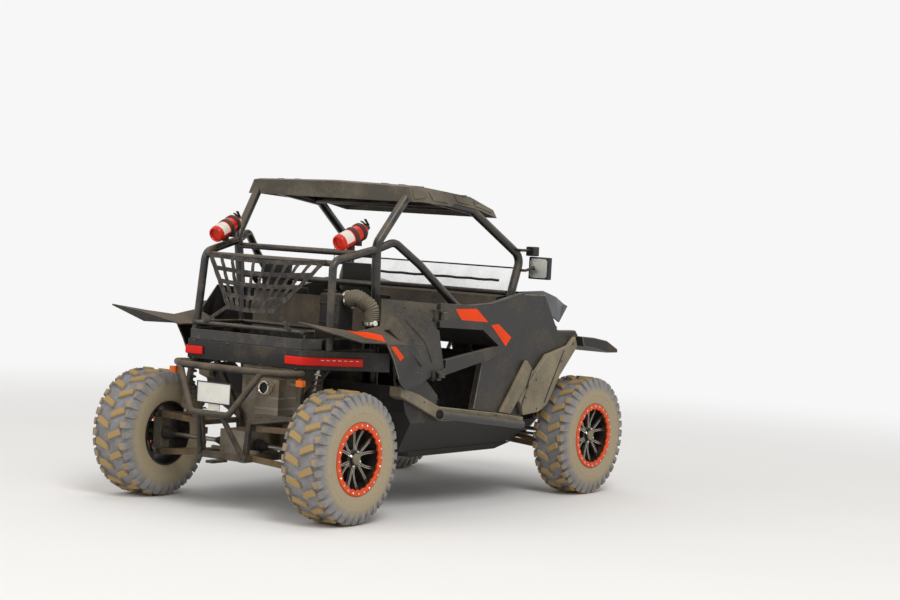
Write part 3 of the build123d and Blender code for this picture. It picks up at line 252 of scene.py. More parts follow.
# dyed plastics keep a full colour: little of the pale sky shows in them
for dyed in ("orangeVinyl", "redAcrylic", "amberAcrylic", "redEnamel"):
    finishes[dyed].node_tree.nodes["Principled BSDF"].inputs["Specular IOR Level"].default_value = 0.2
print("materials", len(finishes))


# ways to make a form
def roundedLine(points, bend, steps=8):
    # the centre line of a bent tube: straight runs and round bends
    points = [Vector(p) for p in points]
    line = [points[0]]
    for before, corner, after in zip(points, points[1:], points[2:]):
        run = (corner - before).normalized()
        leave = (after - corner).normalized()
        turn = run.angle(leave)
        if turn < 0.02:
            line.append(corner)
            continue
        near = corner - run * bend * math.tan(turn / 2)
        inward = (leave - run * run.dot(leave)).normalized()
        for step in range(steps + 1):
            part = turn * step / steps
            line.append(near + inward * bend * (1 - math.cos(part)) + run * bend * math.sin(part))
    line.append(points[-1])
    return line


def skinned(rings):
    # rings of points joined into a skin, closed by flat ends
    count, last = len(rings[0]), (len(rings) - 1) * len(rings[0])
    faces = []
    for start in range(0, last, count):
        for index in range(count):
            a, b = start + index, start + (index + 1) % count
            faces.append((a, b, b + count, a + count))
    faces.append(tuple(range(count))[::-1])
    faces.append(tuple(range(last, last + count)))
    return [point for ring in rings for point in ring], faces


def alongLine(line):
    # each point of a line with the direction of the line there
    for index, point in enumerate(line):
        yield point, (line[min(index + 1, len(line) - 1)] - line[max(index - 1, 0)]).normalized()


def tubeMesh(line, radius, sides=20):
    # rings carried along the line without twist
    across = (line[1] - line[0]).normalized().orthogonal().normalized()
    turns = [2 * math.pi * side / sides for side in range(sides)]
    rings = []
    for point, tangent in alongLine(line):
        across = (across - tangent * across.dot(tangent)).normalized()
        other = tangent.cross(across)
        rings.append([point + (across * math.cos(turn) + other * math.sin(turn)) * radius for turn in turns])
    return skinned(rings)


def joined(parts):
    vertices, faces = [], []
    for partVertices, partFaces in parts:
        shift = len(vertices)
        vertices.extend(partVertices)
        faces.extend([tuple(index + shift for index in face) for face in partFaces])
    return vertices, faces


def mirrored(part):
    # the same form on the other side, its faces turned to point outwards again
    vertices, faces = part
    return [Vector((v[0], -v[1], v[2])) for v in vertices], [face[::-1] for face in faces]


def onBothSides(part):
    return joined([part, mirrored(part)])


def flipped(point):
    return (point[0], -point[1], point[2])


def spun(profile, centre, axis, segments=48, closed=True):
    # a profile of radius and place along the axis, turned round it
    axis = Vector(axis).normalized()
    across = axis.orthogonal().normalized()
    other = axis.cross(across)
    vertices, faces = [], []
    count = len(profile)
    for step in range(segments):
        turn = 2 * math.pi * step / segments
        out = across * math.cos(turn) + other * math.sin(turn)
        vertices.extend([Vector(centre) + out * r + axis * h for r, h in profile])
    for step in range(segments):
        near, far = step * count, (step + 1) % segments * count
        for index in range(count if closed else count - 1):
            nextIndex = (index + 1) % count
            faces.append((near + index, near + nextIndex, far + nextIndex, far + index))
    return vertices, faces


def blockMesh(low, high):
    (ax, ay, az), (bx, by, bz) = low, high
    vertices = [Vector((x, y, z)) for x in (ax, bx) for y in (ay, by) for z in (az, bz)]
    faces = [(0, 1, 3, 2), (4, 6, 7, 5), (0, 4, 5, 1), (2, 3, 7, 6), (0, 2, 6, 4), (1, 5, 7, 3)]
    return vertices, faces


def framed(low, high, edge):
    # four bars round a rectangle that lies square to X
    (ax, ay, az), (bx, by, bz) = low, high
    return joined([
        blockMesh((ax, ay, az), (bx, by, az + edge)), blockMesh((ax, ay, bz - edge), (bx, by, bz)),
        blockMesh((ax, ay, az + edge), (bx, ay + edge, bz - edge)),
        blockMesh((ax, by - edge, az + edge), (bx, by, bz - edge)),
    ])


def strapMesh(line, facing, width, thickness):
    # a flat strap carried along a line; its width lies square to the line and to the way it faces
    rings = []
    for point, tangent in alongLine(line):
        side = tangent.cross(facing).normalized()
        up = side.cross(tangent)
        corners = ((-0.5, 0), (0.5, 0), (0.5, 1), (-0.5, 1))
        rings.append([point + side * across * width + up * lift * thickness for across, lift in corners])
    return skinned(rings)


def plateMesh(centre, facing, up, width, height, thickness, corner=0.0):
    # a plate with cut corners, its back at the centre
    facing = Vector(facing).normalized()
    up = (Vector(up) - facing * Vector(up).dot(facing)).normalized()
    side = up.cross(facing)
    w, h, c = width / 2, height / 2, corner
    outline = [
        (-w + c, -h), (w - c, -h), (w, -h + c), (w, h - c), (w - c, h), (-w + c, h), (-w, h - c), (-w, -h + c),
    ]
    if not corner:
        outline = [(-w, -h), (w, -h), (w, h), (-w, h)]
    count = len(outline)
    vertices = [
        Vector(centre) + side * a + up * b + facing * lift for lift in (0, thickness) for a, b in outline
    ]
    faces = [tuple(range(count))[::-1], tuple(range(count, 2 * count))]
    for index in range(count):
        other = (index + 1) % count
        faces.append((index, other, other + count, index + count))
    return vertices, faces


# ways to make a mesh of a form and to settle it as a piece
def cleaned(mesh, merge=0.00002):
    form = bmesh.new()
    form.from_mesh(mesh)
    bmesh.ops.remove_doubles(form, verts=form.verts, dist=merge)
    bmesh.ops.dissolve_degenerate(form, edges=form.edges, dist=merge)
    bmesh.ops.recalc_face_normals(form, faces=form.faces)
    form.to_mesh(mesh)
    form.free()
    return mesh


def meshOf(name, part, neat=True):
    # a part is its vertices and faces, then loose edges and directions where it has them
    mesh = bpy.data.meshes.new(name)
    mesh.from_pydata([tuple(v) for v in part[0]], part[2] if len(part) > 2 else [], part[1])
    if len(part) > 3:
        layer = mesh.attributes.new("aim", "FLOAT_VECTOR", "POINT")
        for mark, aim in zip(layer.data, part[3]):
            mark.vector = aim
    return cleaned(mesh) if neat and part[1] else mesh


def holderOf(name, part):
    # an object that stands in the scene only while a tree or a modifier needs it
    holder = bpy.data.objects.new(name, meshOf(name, part))
    scene.collection.objects.link(holder)
    return holder


def sideCopy(mesh, side):
    copy = mesh.copy()
    if side < 0:
        copy.transform(Matrix.Diagonal((1, -1, 1, 1)))
        copy.flip_normals()
    return copy


def bakedMesh(piece):
    graph = bpy.context.evaluated_depsgraph_get()
    graph.update()
    return bpy.data.meshes.new_from_object(piece.evaluated_get(graph))


def settle(name, mesh, finish, body, standsFor=(), smooth=35):
    # a finish is named, or made for this piece alone, or already on the mesh
    if finish is not None:
        mesh.materials.clear()
        mesh.materials.append(finishes[finish] if isinstance(finish, str) else finish)
    mesh.shade_smooth()
    mesh.set_sharp_from_angle(angle=math.radians(smooth))
    piece = bpy.data.objects.new(name, mesh)
    scene.collection.objects.link(piece)
    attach(piece, body)
    if standsFor:
        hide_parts(*standsFor)
    return piece


def keep(name, part, finish, standsFor=(), smooth=35, body="chassis"):
    return settle(name, meshOf(name, part), finish, body, standsFor, smooth)


def keepTubes(name, part, finish, node):
    return settle(name, meshOf(name, part, False), finish, "chassis", (node,))


def addBevel(piece, width, segments=2, angle=30):
    bevel = piece.modifiers.new("softEdges", "BEVEL")
    bevel.width = width
    bevel.segments = segments
    bevel.limit_method = "ANGLE"
    bevel.angle_limit = math.radians(angle)
    bevel.harden_normals = True
    return piece


bodyOf = {node: body for body, members in record["behaviour"]["bodies"].items() for node in members}
# panels whose edges are rubbed pale by boots, brush and sand, and painted pale as a highlight where they catch
# the light
wornAndHighlightedEdgeNodes = ("door_left", "door_right", "quarter_panels", "front_side_panels", "rear_fenders", "front_fenders")
merge = {"gap": 0.00005, "flat": 1}


def dressed(node, finish, edge=0.0, segments=2):
    # a merged copy of a CAD node with soft edges stands for it
    mesh = frame["nodes"][node].data.copy()
    form = bmesh.new()
    form.from_mesh(mesh)
    bmesh.ops.remove_doubles(form, verts=form.verts, dist=merge["gap"])
    bmesh.ops.dissolve_limit(form, angle_limit=math.radians(merge["flat"]), verts=form.verts, edges=form.edges)
    form.to_mesh(mesh)
    form.free()
    for layer in list(mesh.uv_layers):
        mesh.uv_layers.remove(layer)
    piece = settle(node + "_skin", mesh, finish, bodyOf[node], (node,), 40)
    if edge:
        addBevel(piece, edge, segments)
    # the bevelled edges take the pale finish: wear and dust, and a painted highlight along each edge
    if node in wornAndHighlightedEdgeNodes:
        piece.data.materials.append(finishes["paleEdgeWearAndHighlight"])
        piece.modifiers["softEdges"].material = 1
    return piece


def newTree(name, sockets):
    # an empty tree with its named inputs
    tree = bpy.data.node_groups.new(name, "GeometryNodeTree")
    face = tree.interface
    for label, kind in sockets.items():
        face.new_socket(name=label, in_out="INPUT", socket_type=kind)
    face.new_socket(name="Geometry", in_out="OUTPUT", socket_type="NodeSocketGeometry")
    addNode(tree, "NodeGroupInput")
    return tree


def closeTree(tree, geometry):
    real = addNode(tree, "GeometryNodeRealizeInstances", None, {0: geometry})
    finish = addNode(tree, "GeometryNodeSetMaterial", None, {"Geometry": real, "Material": "Finish"})
    addNode(tree, "NodeGroupOutput", None, {0: finish})
    return tree


def turnedCopies():
    # copies of a part, evenly turned about an axle through the origin
    tree = newTree("turnedCopies", {
        "Part": "NodeSocketObject", "Count": "NodeSocketInt", "Start": "NodeSocketFloat",
        "Finish": "NodeSocketMaterial",
    })
    points = addNode(tree, "GeometryNodePoints", None, {"Count": "Count"})
    index = addNode(tree, "GeometryNodeInputIndex")
    share = addNode(tree, "ShaderNodeMath", {"operation": "DIVIDE"}, {0: index, 1: "Count"})
    turn = addNode(
        tree, "ShaderNodeMath", {"operation": "MULTIPLY_ADD", 1: 2 * math.pi},
        {0: share, 2: "Start"},
    )
    spin = addNode(tree, "ShaderNodeCombineXYZ", None, {"Y": turn})
    part = addNode(tree, "GeometryNodeObjectInfo", None, {"Object": "Part"})
    links = {"Points": points, "Instance": part.outputs["Geometry"], "Rotation": spin}
    placed = addNode(tree, "GeometryNodeInstanceOnPoints", None, links)
    return closeTree(tree, placed)


def ribbedHose():
    # a hose along a path, its radius waved rib by rib
    tree = newTree("ribbedHose", {
        "Path": "NodeSocketObject", "Radius": "NodeSocketFloat", "Pitch": "NodeSocketFloat",
        "Depth": "NodeSocketFloat", "Finish": "NodeSocketMaterial",
    })
    path = addNode(tree, "GeometryNodeObjectInfo", None, {"Object": "Path"})
    curve = addNode(tree, "GeometryNodeMeshToCurve", None, {"Mesh": path.outputs["Geometry"]})
    quarter = addNode(tree, "ShaderNodeMath", {"operation": "DIVIDE", 1: hoseLook["rings"]}, {0: "Pitch"})
    even = addNode(tree, "GeometryNodeResampleCurve", {"mode": "LENGTH"}, {"Curve": curve, "Length": quarter})
    phase = addNode(
        tree, "ShaderNodeMath", {"operation": "MULTIPLY", 1: 2 * math.pi / hoseLook["rings"]},
        {0: addNode(tree, "GeometryNodeInputIndex")},
    )
    wave = addNode(tree, "ShaderNodeMath", {"operation": "SINE"}, {0: phase})
    radius = addNode(tree, "ShaderNodeMath", {"operation": "MULTIPLY_ADD"}, {0: wave, 1: "Depth", 2: "Radius"})
    circle = addNode(tree, "GeometryNodeCurvePrimitiveCircle", {"Resolution": hoseLook["sides"], "Radius": 1.0})
    hose = addNode(
        tree, "GeometryNodeCurveToMesh", {"Fill Caps": True},
        {"Curve": even, "Profile Curve": circle, "Scale": radius},
    )
    return closeTree(tree, hose)


def rowCopies():
    # copies of a part in a straight row
    tree = newTree("rowCopies", {
        "Part": "NodeSocketObject", "Count": "NodeSocketInt", "Step": "NodeSocketVector",
        "Finish": "NodeSocketMaterial",
    })
    part = addNode(tree, "GeometryNodeObjectInfo", None, {"Object": "Part"})
    row = addNode(tree, "GeometryNodeMeshLine", None, {"Count": "Count", "Offset": "Step"})
    placed = addNode(
        tree, "GeometryNodeInstanceOnPoints", None, {"Points": row, "Instance": part.outputs["Geometry"]},
    )
    return closeTree(tree, placed)


def standingCopies():
    # copies of a part on marked points, each turned along its mark
    tree = newTree("standingCopies", {
        "Marks": "NodeSocketObject", "Part": "NodeSocketObject", "Finish": "NodeSocketMaterial",
    })
    marks = addNode(tree, "GeometryNodeObjectInfo", None, {"Object": "Marks"})
    part = addNode(tree, "GeometryNodeObjectInfo", None, {"Object": "Part"})
    aim = addNode(tree, "GeometryNodeInputNamedAttribute", {"data_type": "FLOAT_VECTOR", "Name": "aim"})
    turn = addNode(tree, "FunctionNodeAlignRotationToVector", {"axis": "Z"}, {"Vector": aim})
    placed = addNode(
        tree, "GeometryNodeInstanceOnPoints", None,
        {"Points": marks.outputs["Geometry"], "Instance": part.outputs["Geometry"], "Rotation": turn},
    )
    return closeTree(tree, placed)


hoseLook = {"rings": 6.0, "sides": 28}
trees = {"turned": turnedCopies(), "hose": ribbedHose(), "row": rowCopies(), "standing": standingCopies()}


def grown(name, tree, finish, parts, **values):
    # runs a tree once on its parts and keeps what it makes as a plain mesh
    holders = {key: holderOf(name + key, part) for key, part in parts.items()}
    seed = holderOf(name, ([], []))
    modifier = seed.modifiers.new("grow", "NODES")
    modifier.node_group = trees[tree]
    inputs = {"Finish": finishes[finish] if isinstance(finish, str) else finish, **holders, **values}
    for item in trees[tree].interface.items_tree:
        if item.in_out == "INPUT":
            modifier[item.identifier] = inputs[item.name]
    bpy.context.view_layer.update()
    mesh = bakedMesh(seed)
    for used in (seed, *holders.values()):
        bpy.data.objects.remove(used)
    return mesh


# ways to lay a part on a panel
def treeOf(node):
    mesh = frame["nodes"][node].data
    return BVHTree.FromPolygons([v.co for v in mesh.vertices], [tuple(p.vertices) for p in mesh.polygons])


def rayFrom(drop, start, a, b):
    # a place outside a panel along X, Y or Z, and the way inwards from it
    place = [a, b]
    place.insert(drop, start)
    return Vector(place), Vector([-math.copysign(1, start) if axis == drop else 0.0 for axis in range(3)])


def laidOn(node, outline, drop, start, thickness, cell=0.012, lift=0.0004):
    # a thin sheet cut to an outline and pressed on to a panel along X, Y or Z
    target = treeOf(node)
    form = bmesh.new()
    form.faces.new([form.verts.new(rayFrom(drop, start, a, b)[0]) for a, b in outline])
    for way in [axis for axis in range(3) if axis != drop]:
        low = min(v.co[way] for v in form.verts)
        high = max(v.co[way] for v in form.verts)
        square = Vector([1.0 if axis == way else 0.0 for axis in range(3)])
        for step in range(1, int((high - low) / cell) + 1):
            parts = form.verts[:] + form.edges[:] + form.faces[:]
            bmesh.ops.bisect_plane(form, geom=parts, plane_co=square * (low + step * cell), plane_no=square)
    bmesh.ops.triangulate(form, faces=form.faces[:])
    inward = rayFrom(drop, start, 0.0, 0.0)[1]
    for vertex in form.verts:
        hit = target.ray_cast(vertex.co, inward)[0]
        if hit is None:
            hit = target.find_nearest(vertex.co)[0]
        vertex.co = hit - inward * lift
    form.verts.index_update()
    under = [vertex.co.copy() for vertex in form.verts]
    loops = [[v.index for v in face.verts] for face in form.faces]
    form.free()
    count = len(under)
    edges = dict.fromkeys(pair for loop in loops for pair in zip(loop, loop[1:] + loop[:1]))
    faces = []
    for loop in loops:
        faces += [tuple(loop), tuple(index + count for index in loop[::-1])]
    faces += [(a, b, b + count, a + count) for a, b in edges if (b, a) not in edges]
    return under + [place - inward * thickness for place in under], faces


def seated(node, places, drop, start):
    # where bolts stand on a panel, each with the way it points
    target = treeOf(node)
    marks = []
    for a, b in places:
        for side in ((1, -1) if drop == 1 else (1,)):
            place, inward = rayFrom(drop, start * side, a, b)
            hit, normal = target.ray_cast(place, inward)[:2]
            if hit is not None:
                aim = normal if normal.dot(inward) < 0 else -normal
                marks.append((hit - aim * 0.0005, aim))
    return marks


# nodes kept in their CAD form, each with its finish and the width of its soft edges
dressedNodes = {
    "lower_frame": ("powderCoatedChassis", 0.003),
    "deck_frame": ("powderCoatedTube", 0.003),
    "cradles": ("powderCoatedChassis", 0.003),
    "skid_plate": ("mouldedBlackPolypropylene", 0.0),
    "floor_tub": ("mouldedBlackPolypropylene", 0.0),
    "door_left": ("charcoalPolypropylene", 0.004),
    "door_right": ("charcoalPolypropylene", 0.004),
    "quarter_panels": ("charcoalPolypropylene", 0.003),
    "sills": ("sandedPolypropylene", 0.006),
    "front_side_panels": ("charcoalPolypropylene", 0.005),
    "footwell_panels": ("sandedPolypropylene", 0.006),
    "hood": ("blueBlackPaint", 0.004),
    "front_fascia": ("mouldedBlackPolypropylene", 0.003),
    "front_fenders": ("mouldedBlackPolypropylene", 0.005),
    "dashboard": ("mouldedBlackPolypropylene", 0.004),
    "roof": ("greyPolyethylene", 0.004),
    "seat_shells": ("mouldedBlackPolypropylene", 0.003),
    "cargo_bed": ("powderCoatedTube", 0.002),
    "tail_panel": ("mouldedBlackPolypropylene", 0.003),
    "rear_fenders": ("mouldedBlackPolypropylene", 0.002),
    "licence_plate": ("whiteEnamel", 0.001),
    "muffler": ("stainedStainless", 0.012),
    "engine": ("castAluminium", 0.008),
    "front_arms": ("bronzeArmPaint", 0.003),
    "rear_arms": ("bronzeArmPaint", 0.003),
    "rear_uprights": ("castAluminium", 0.003),
    "knuckle_left": ("castAluminium", 0.003),
    "knuckle_right": ("castAluminium", 0.003),
    "tie_rods": ("turnedSteel", 0.0),
}
for node, (finish, edge) in dressedNodes.items():
    dressed(node, finish, edge)
print("dressed nodes", len(dressedNodes))

# round tubes in place of the flat-sided ones
cage = {
    "hoop": [
        (0.330, 0.430, 0.3113), (0.406, 0.598, 0.760), (0.446, 0.618, 1.215), (0.516, 0.618, 1.405),
        (0.100, 0.548, 1.662), (-0.480, 0.530, 1.738), (-0.693, 0.491, 1.457), (-0.575, 0.440, 0.3113),
    ],
    "tube": 0.025,
    "stay": 0.022,
    "bar": 0.017,
    "hoopBend": 0.07,
    "stayBend": 0.06,
    "stayDrop": 0.03,
    "stayPoints": [(-1.008, 0.448, 1.357), (-1.036, 0.472, 0.8863)],
    "sideBar": [(-0.575, 0.520, 1.470), (-0.414, 0.580, 1.350), (-0.130, 0.646, 1.120)],
    "sideBarEnd": 1.0,
    "roofBars": (0.93, 0.1),
    "backBars": (1.396, 1.236),
    "dashBar": 1.120,
    "rackBar": (-1.004, 0.449, 1.345),
}
bumper = {
    "tube": 0.019,
    "hoop": 0.017,
    "leg": 0.015,
    "corner": (-1.214, 0.435, 0.760),
    "inner": (-1.1426, 0.3871, 0.760),
    "high": (-1.354, 0.286, 0.763),
    "low": (-1.424, 0.129, 0.525),
    "foot": (-1.3125, 0.15, 0.295),
    "legTop": 0.08,
    "crossBend": 0.03,
    "hoopBend": 0.04,
    "front": [(1.325, 0.162, 0.3), (1.430, 0.190, 0.4), (1.5025, 0.240, 0.6), (1.484, 0.245, 0.8)],
    "frontTube": 0.0185,
    "frontBar": 0.017,
}
stepBar = {"rear": (-0.385, 0.7473, 0.545), "front": (0.426, 0.7473, 0.449), "tube": 0.025}


def between(low, high, share):
    return tuple(a + (b - a) * share for a, b in zip(low, high))


def atHeight(low, high, z):
    return between(low, high, (z - low[2]) / (high[2] - low[2]))


def cageSide():
    hoop = cage["hoop"]
    joint = atHeight(hoop[6], hoop[7], hoop[6][2] - cage["stayDrop"])
    end = atHeight(hoop[1], hoop[2], cage["sideBarEnd"])
    runs = [
        (hoop, "hoopBend", "tube"),
        ([joint] + cage["stayPoints"], "stayBend", "stay"),
        ([joint] + cage["sideBar"] + [end], "stayBend", "stay"),
    ]
    return joined([tubeMesh(roundedLine(line, cage[bend]), cage[tube], 24) for line, bend, tube in runs])


def crossBars():
    hoop = cage["hoop"]
    ends = [between(hoop[4], hoop[5], share) for share in cage["roofBars"]]
    ends += [atHeight(hoop[6], hoop[7], z) for z in cage["backBars"]]
    ends += [atHeight(hoop[1], hoop[2], cage["dashBar"]), cage["rackBar"]]
    lines = [[Vector((x, side * y, z)) for side in (-1, -0.5, 0, 0.5, 1)] for x, y, z in ends]
    return joined([tubeMesh(line, cage["bar"], 20) for line in lines])


def loopOf(half):
    return half + [flipped(point) for point in half[::-1]]


def rearBumper():
    low, foot = bumper["low"], bumper["foot"]
    cross = roundedLine(loopOf([bumper["inner"], bumper["corner"], bumper["high"]]), bumper["crossBend"])
    hoop = roundedLine(loopOf([bumper["high"], low]), bumper["hoopBend"])
    parts = [tubeMesh(cross, bumper["tube"], 20), tubeMesh(hoop, bumper["hoop"], 20)]
    for side in (1, -1):
        leg = [Vector((low[0], side * bumper["legTop"], low[2])), Vector((foot[0], side * foot[1], foot[2]))]
        parts.append(tubeMesh(leg, bumper["leg"], 16))
    return joined(parts)


def frontBumper():
    x, y, z = bumper["front"][2]
    loop = roundedLine(loopOf(bumper["front"]), bumper["hoopBend"])
    bar = [Vector((x, side * y, z)) for side in (-1, 0, 1)]
    return joined([tubeMesh(loop, bumper["frontTube"], 20), tubeMesh(bar, bumper["frontBar"], 20)])


def stepTube():
    line = [Vector(between(stepBar["rear"], stepBar["front"], step / 8)) for step in range(9)]
    return tubeMesh(line, stepBar["tube"], 24)


leftCage = cageSide()
keepTubes("cage_left_tubes", leftCage, "powderCoatedTube", "cage_left")
keepTubes("cage_right_tubes", mirrored(leftCage), "powderCoatedTube", "cage_right")
keepTubes("cross_bar_tubes", crossBars(), "powderCoatedTube", "cage_cross_bars")
keepTubes("rear_bumper_tubes", rearBumper(), "powderCoatedChassis", "rear_bumper")
keepTubes("front_bumper_tubes", frontBumper(), "powderCoatedTube", "front_bumper")
keepTubes("step_bar_tubes", onBothSides(stepTube()), "powderCoatedTube", "step_bars")
print("tubes done")

# wheels: carcass with lugs of two patterns, spoked rim, scalloped clamp ring with its bolts
wheels = {
    "front": {"axle": 1.1425, "width": 0.232},
    "rear": {"axle": -1.1425, "width": 0.272},
    "axleHeight": 0.35,
    "halfWidth": 0.802,
    "radius": 0.35,
    "lugHeight": 0.02,
    "rimRadius": 0.178,
    "ringRadius": 0.192,
    "shoulder": 0.085,
    "spokeStart": 0.1,
    "nuts": 4,
    "nutStart": 0.4,
    "pitches": 18,
    "spokes": 12,
    "bolts": 24,
    "colours": {"dry": "#77746f", "dusty": "#98979a", "wall": "#a89a7f", "tops": "#a98d5e"},
}


def tyreRubber(name, axleX):
    # natural rubber: grey with dust, ochre earth pressed on the lug tops, tan sidewalls
    material, tree, shader, place = newMaterial(name, {"Specular IOR Level": 0.25})
    centred = addNode(
        tree, "ShaderNodeMapping", {"Location": (-axleX, 0, -wheels["axleHeight"]), "Scale": (1, 0, 1)},
        {"Vector": place},
    )
    reach = addNode(tree, "ShaderNodeVectorMath", {"operation": "LENGTH"}, {0: centred})
    broad = addNode(
        tree, "ShaderNodeTexNoise", {"Scale": 1 / 0.05, "Detail": 5, "Roughness": 0.6}, {"Vector": place},
    )
    fine = addNode(tree, "ShaderNodeTexNoise", {"Scale": 1 / 0.006, "Detail": 4}, {"Vector": place})
    wobble = addNode(
        tree, "ShaderNodeMath", {"operation": "MULTIPLY_ADD", 1: 0.012}, {0: broad, 2: reach.outputs["Value"]},
    )
    radius = wheels["radius"]
    top = addNode(
        tree, "ShaderNodeMapRange", {"From Min": radius - 0.010, "From Max": radius + 0.004}, {"Value": wobble},
    )
    wall = addNode(
        tree, "ShaderNodeMapRange", {"From Min": radius - 0.030, "From Max": radius - 0.085}, {"Value": wobble},
    )
    colours = addNode(tree, "ShaderNodeValToRGB", None, {0: broad})
    for stop, position, colour in zip(colours.color_ramp.elements, (0.25, 0.72), ("dry", "dusty")):
        stop.position = position
        stop.color = hexToLinear(wheels["colours"][colour])
    sand, earth = hexToLinear(wheels["colours"]["wall"]), hexToLinear(wheels["colours"]["tops"])
    sidewall = addNode(tree, "ShaderNodeMix", {"data_type": "RGBA", 7: sand}, {0: wall, 6: colours})
    crown = addNode(tree, "ShaderNodeMix", {"data_type": "RGBA", 7: earth}, {0: top, 6: sidewall.outputs[2]})
    speckle = addNode(tree, "ShaderNodeMapRange", {"To Min": 0.8, "To Max": 1.2}, {"Value": fine})
    final = addNode(tree, "ShaderNodeHueSaturation", None, {"Color": crown.outputs[2], "Value": speckle})
    gloss = addNode(tree, "ShaderNodeMapRange", {"To Min": 0.7, "To Max": 0.98}, {"Value": broad})
    bump = addNode(tree, "ShaderNodeBump", {"Strength": 0.3, "Distance": 0.002}, {"Height": fine})
    wire(tree, shader, {"Base Color": final, "Roughness": gloss, "Normal": bump})
    return material


def lugMesh(outline, low, high, slope=0.0):
    # a lug from an outline of arc length and place across, with chamfered shoulders
    middle = [sum(p[at] for p in outline) / len(outline) for at in (0, 1)]
    rings = []
    for radius, spread in ((low, 1.12), (high - 0.004, 1.0), (high, 0.84)):
        ring = []
        for s, y in outline:
            arc = (middle[0] + (s - middle[0]) * spread) / wheels["radius"]
            across = middle[1] + (y - middle[1]) * (1 + (spread - 1) * 0.6)
            reach = radius - slope * max(0.0, abs(across) - wheels["shoulder"])
            ring.append(Vector((math.sin(arc) * reach, across, math.cos(arc) * reach)))
        rings.append(ring)
    return skinned(rings)


def shoulderLug(half, shift, base):
    # a buttress down the shoulder on to the sidewall
    vertices = []
    rows = [
        (base + 0.010, half - 0.020, 0.019), (0.318, half - 0.0065, 0.018), (0.298, half - 0.0012, 0.014),
        (0.282, half - 0.0010, 0.007),
    ]
    for sunk, inner, wider in ((0, 0, 1), (0.014, 0.012, 1.15)):
        for radius, across, spread in rows:
            for sign in (-1, 1):
                arc, reach = (shift + sign * spread * wider) / wheels["radius"], radius - sunk
                vertices.append(Vector((math.sin(arc) * reach, across - inner, math.cos(arc) * reach)))
    faces = []
    for row in range(3):
        a = row * 2
        faces.append((a, a + 1, a + 3, a + 2))
        faces.append((a + 8, a + 10, a + 11, a + 9))
        faces.append((a, a + 2, a + 10, a + 8))
        faces.append((a + 1, a + 9, a + 11, a + 3))
    faces.append((0, 8, 9, 1))
    faces.append((6, 7, 15, 14))
    return vertices, faces


def turnedMesh(name, part, finish, count, start):
    return grown(name, "turned", finish, {"Part": part}, Count=count, Start=start)


def tyreMeshes(kind, rubber):
    half = wheels[kind]["width"] / 2
    radius = wheels["radius"]
    base = radius - wheels["lugHeight"]
    rimR = wheels["rimRadius"]
    ringR = wheels["ringRadius"]
    section = [
        (rimR - 0.003, 0.016 - half), (rimR + 0.012, 0.009 - half), (rimR + 0.03, 0.005 - half),
        (0.235, 0.001 - half), (0.262, 0.0004 - half), (0.285, 0.004 - half), (0.305, 0.011 - half),
        (0.319, 0.021 - half), (base - 0.002, 0.036 - half), (base + 0.001, -half / 2), (base + 0.002, 0),
        (base + 0.001, half / 2), (base - 0.002, half - 0.036), (0.319, half - 0.021), (0.305, half - 0.011),
        (0.285, half - 0.004), (0.262, half - 0.0004), (0.248, half - 0.0015), (0.2465, half - 0.0005),
        (0.243, half - 0.0005), (0.2415, half - 0.002), (0.215, half - 0.0035), (ringR + 0.003, half - 0.008),
        (ringR + 0.0008, half - 0.014), (rimR - 0.003, half - 0.018),
    ]
    # lugs of one side, each an outline of arc length and place across
    pitch = 2 * math.pi * radius / wheels["pitches"]
    bar = [
        (-0.032, 0.004), (0.003, 0.002), (0.026, half * 0.34), (0.038, half * 0.58), (0.004, half * 0.66),
        (-0.010, half * 0.40),
    ]
    knob = [(-0.022, half * 0.66), (0.014, half * 0.60), (0.022, half - 0.017), (-0.020, half - 0.015)]
    knob = [(s + pitch * 0.52, y) for s, y in knob]
    tail = [(-0.016, half * 0.76), (0.016, half * 0.74), (0.022, half - 0.018), (-0.014, half - 0.016)]
    side = joined([
        lugMesh(bar, base - 0.006, radius),
        lugMesh(knob, base - 0.016, radius - 0.001, 0.35),
        lugMesh(tail, base - 0.016, radius - 0.002, 0.35),
        shoulderLug(half, 0.004, base),
        shoulderLug(half, pitch * 0.52, base),
    ])
    count = wheels["pitches"]
    shell = spun(section, (0, 0, 0), (0, 1, 0), 96)
    outer = turnedMesh(kind + "Lugs", side, rubber, count, 0.0)
    inner = turnedMesh(kind + "LugsInner", mirrored(side), rubber, count, math.pi / count)
    return [
        ("tyre_carcass", meshOf(kind + "Carcass", shell), rubber, "tyre_rubber", "tyre", 35),
        ("tyre_lugs_outer", outer, None, "tyre_rubber", None, 25),
        ("tyre_lugs_inner", inner, None, "tyre_rubber", None, 25),
    ]


def spokeRun(sign, face, shift, narrow, low, high):
    # one branch of a spoke: it leaves the hub beside its twin and parts from it towards the ring
    rows = [
        (0.046, 0.0075, 0.000, 5.5), (0.075, 0.0065, -0.003, 7.5), (0.110, 0.0060, 0.001, 10.5),
        (0.145, 0.0080, 0.007, 13.8), (0.166, 0.0120, 0.010, 15.0),
    ]
    vertices, faces = [], []
    for reach, wide, lift, turn in rows:
        middle = sign * reach * math.tan(math.radians(turn)) + shift * wide
        half = narrow or wide
        for across, depth in (
            (-half, low), (-half, high - 0.0008), (-half * 0.8, high), (half * 0.8, high),
            (half, high - 0.0008), (half, low),
        ):
            vertices.append(Vector((middle + across, face + lift + depth, reach)))
    for row in range(len(rows) - 1):
        for index in range(6):
            a = row * 6 + index
            b = row * 6 + (index + 1) % 6
            faces.append((a, a + 6, b + 6, b))
    faces.append((0, 1, 2, 3, 4, 5))
    faces.append(tuple(range((len(rows) - 1) * 6, len(rows) * 6))[::-1])
    return vertices, faces


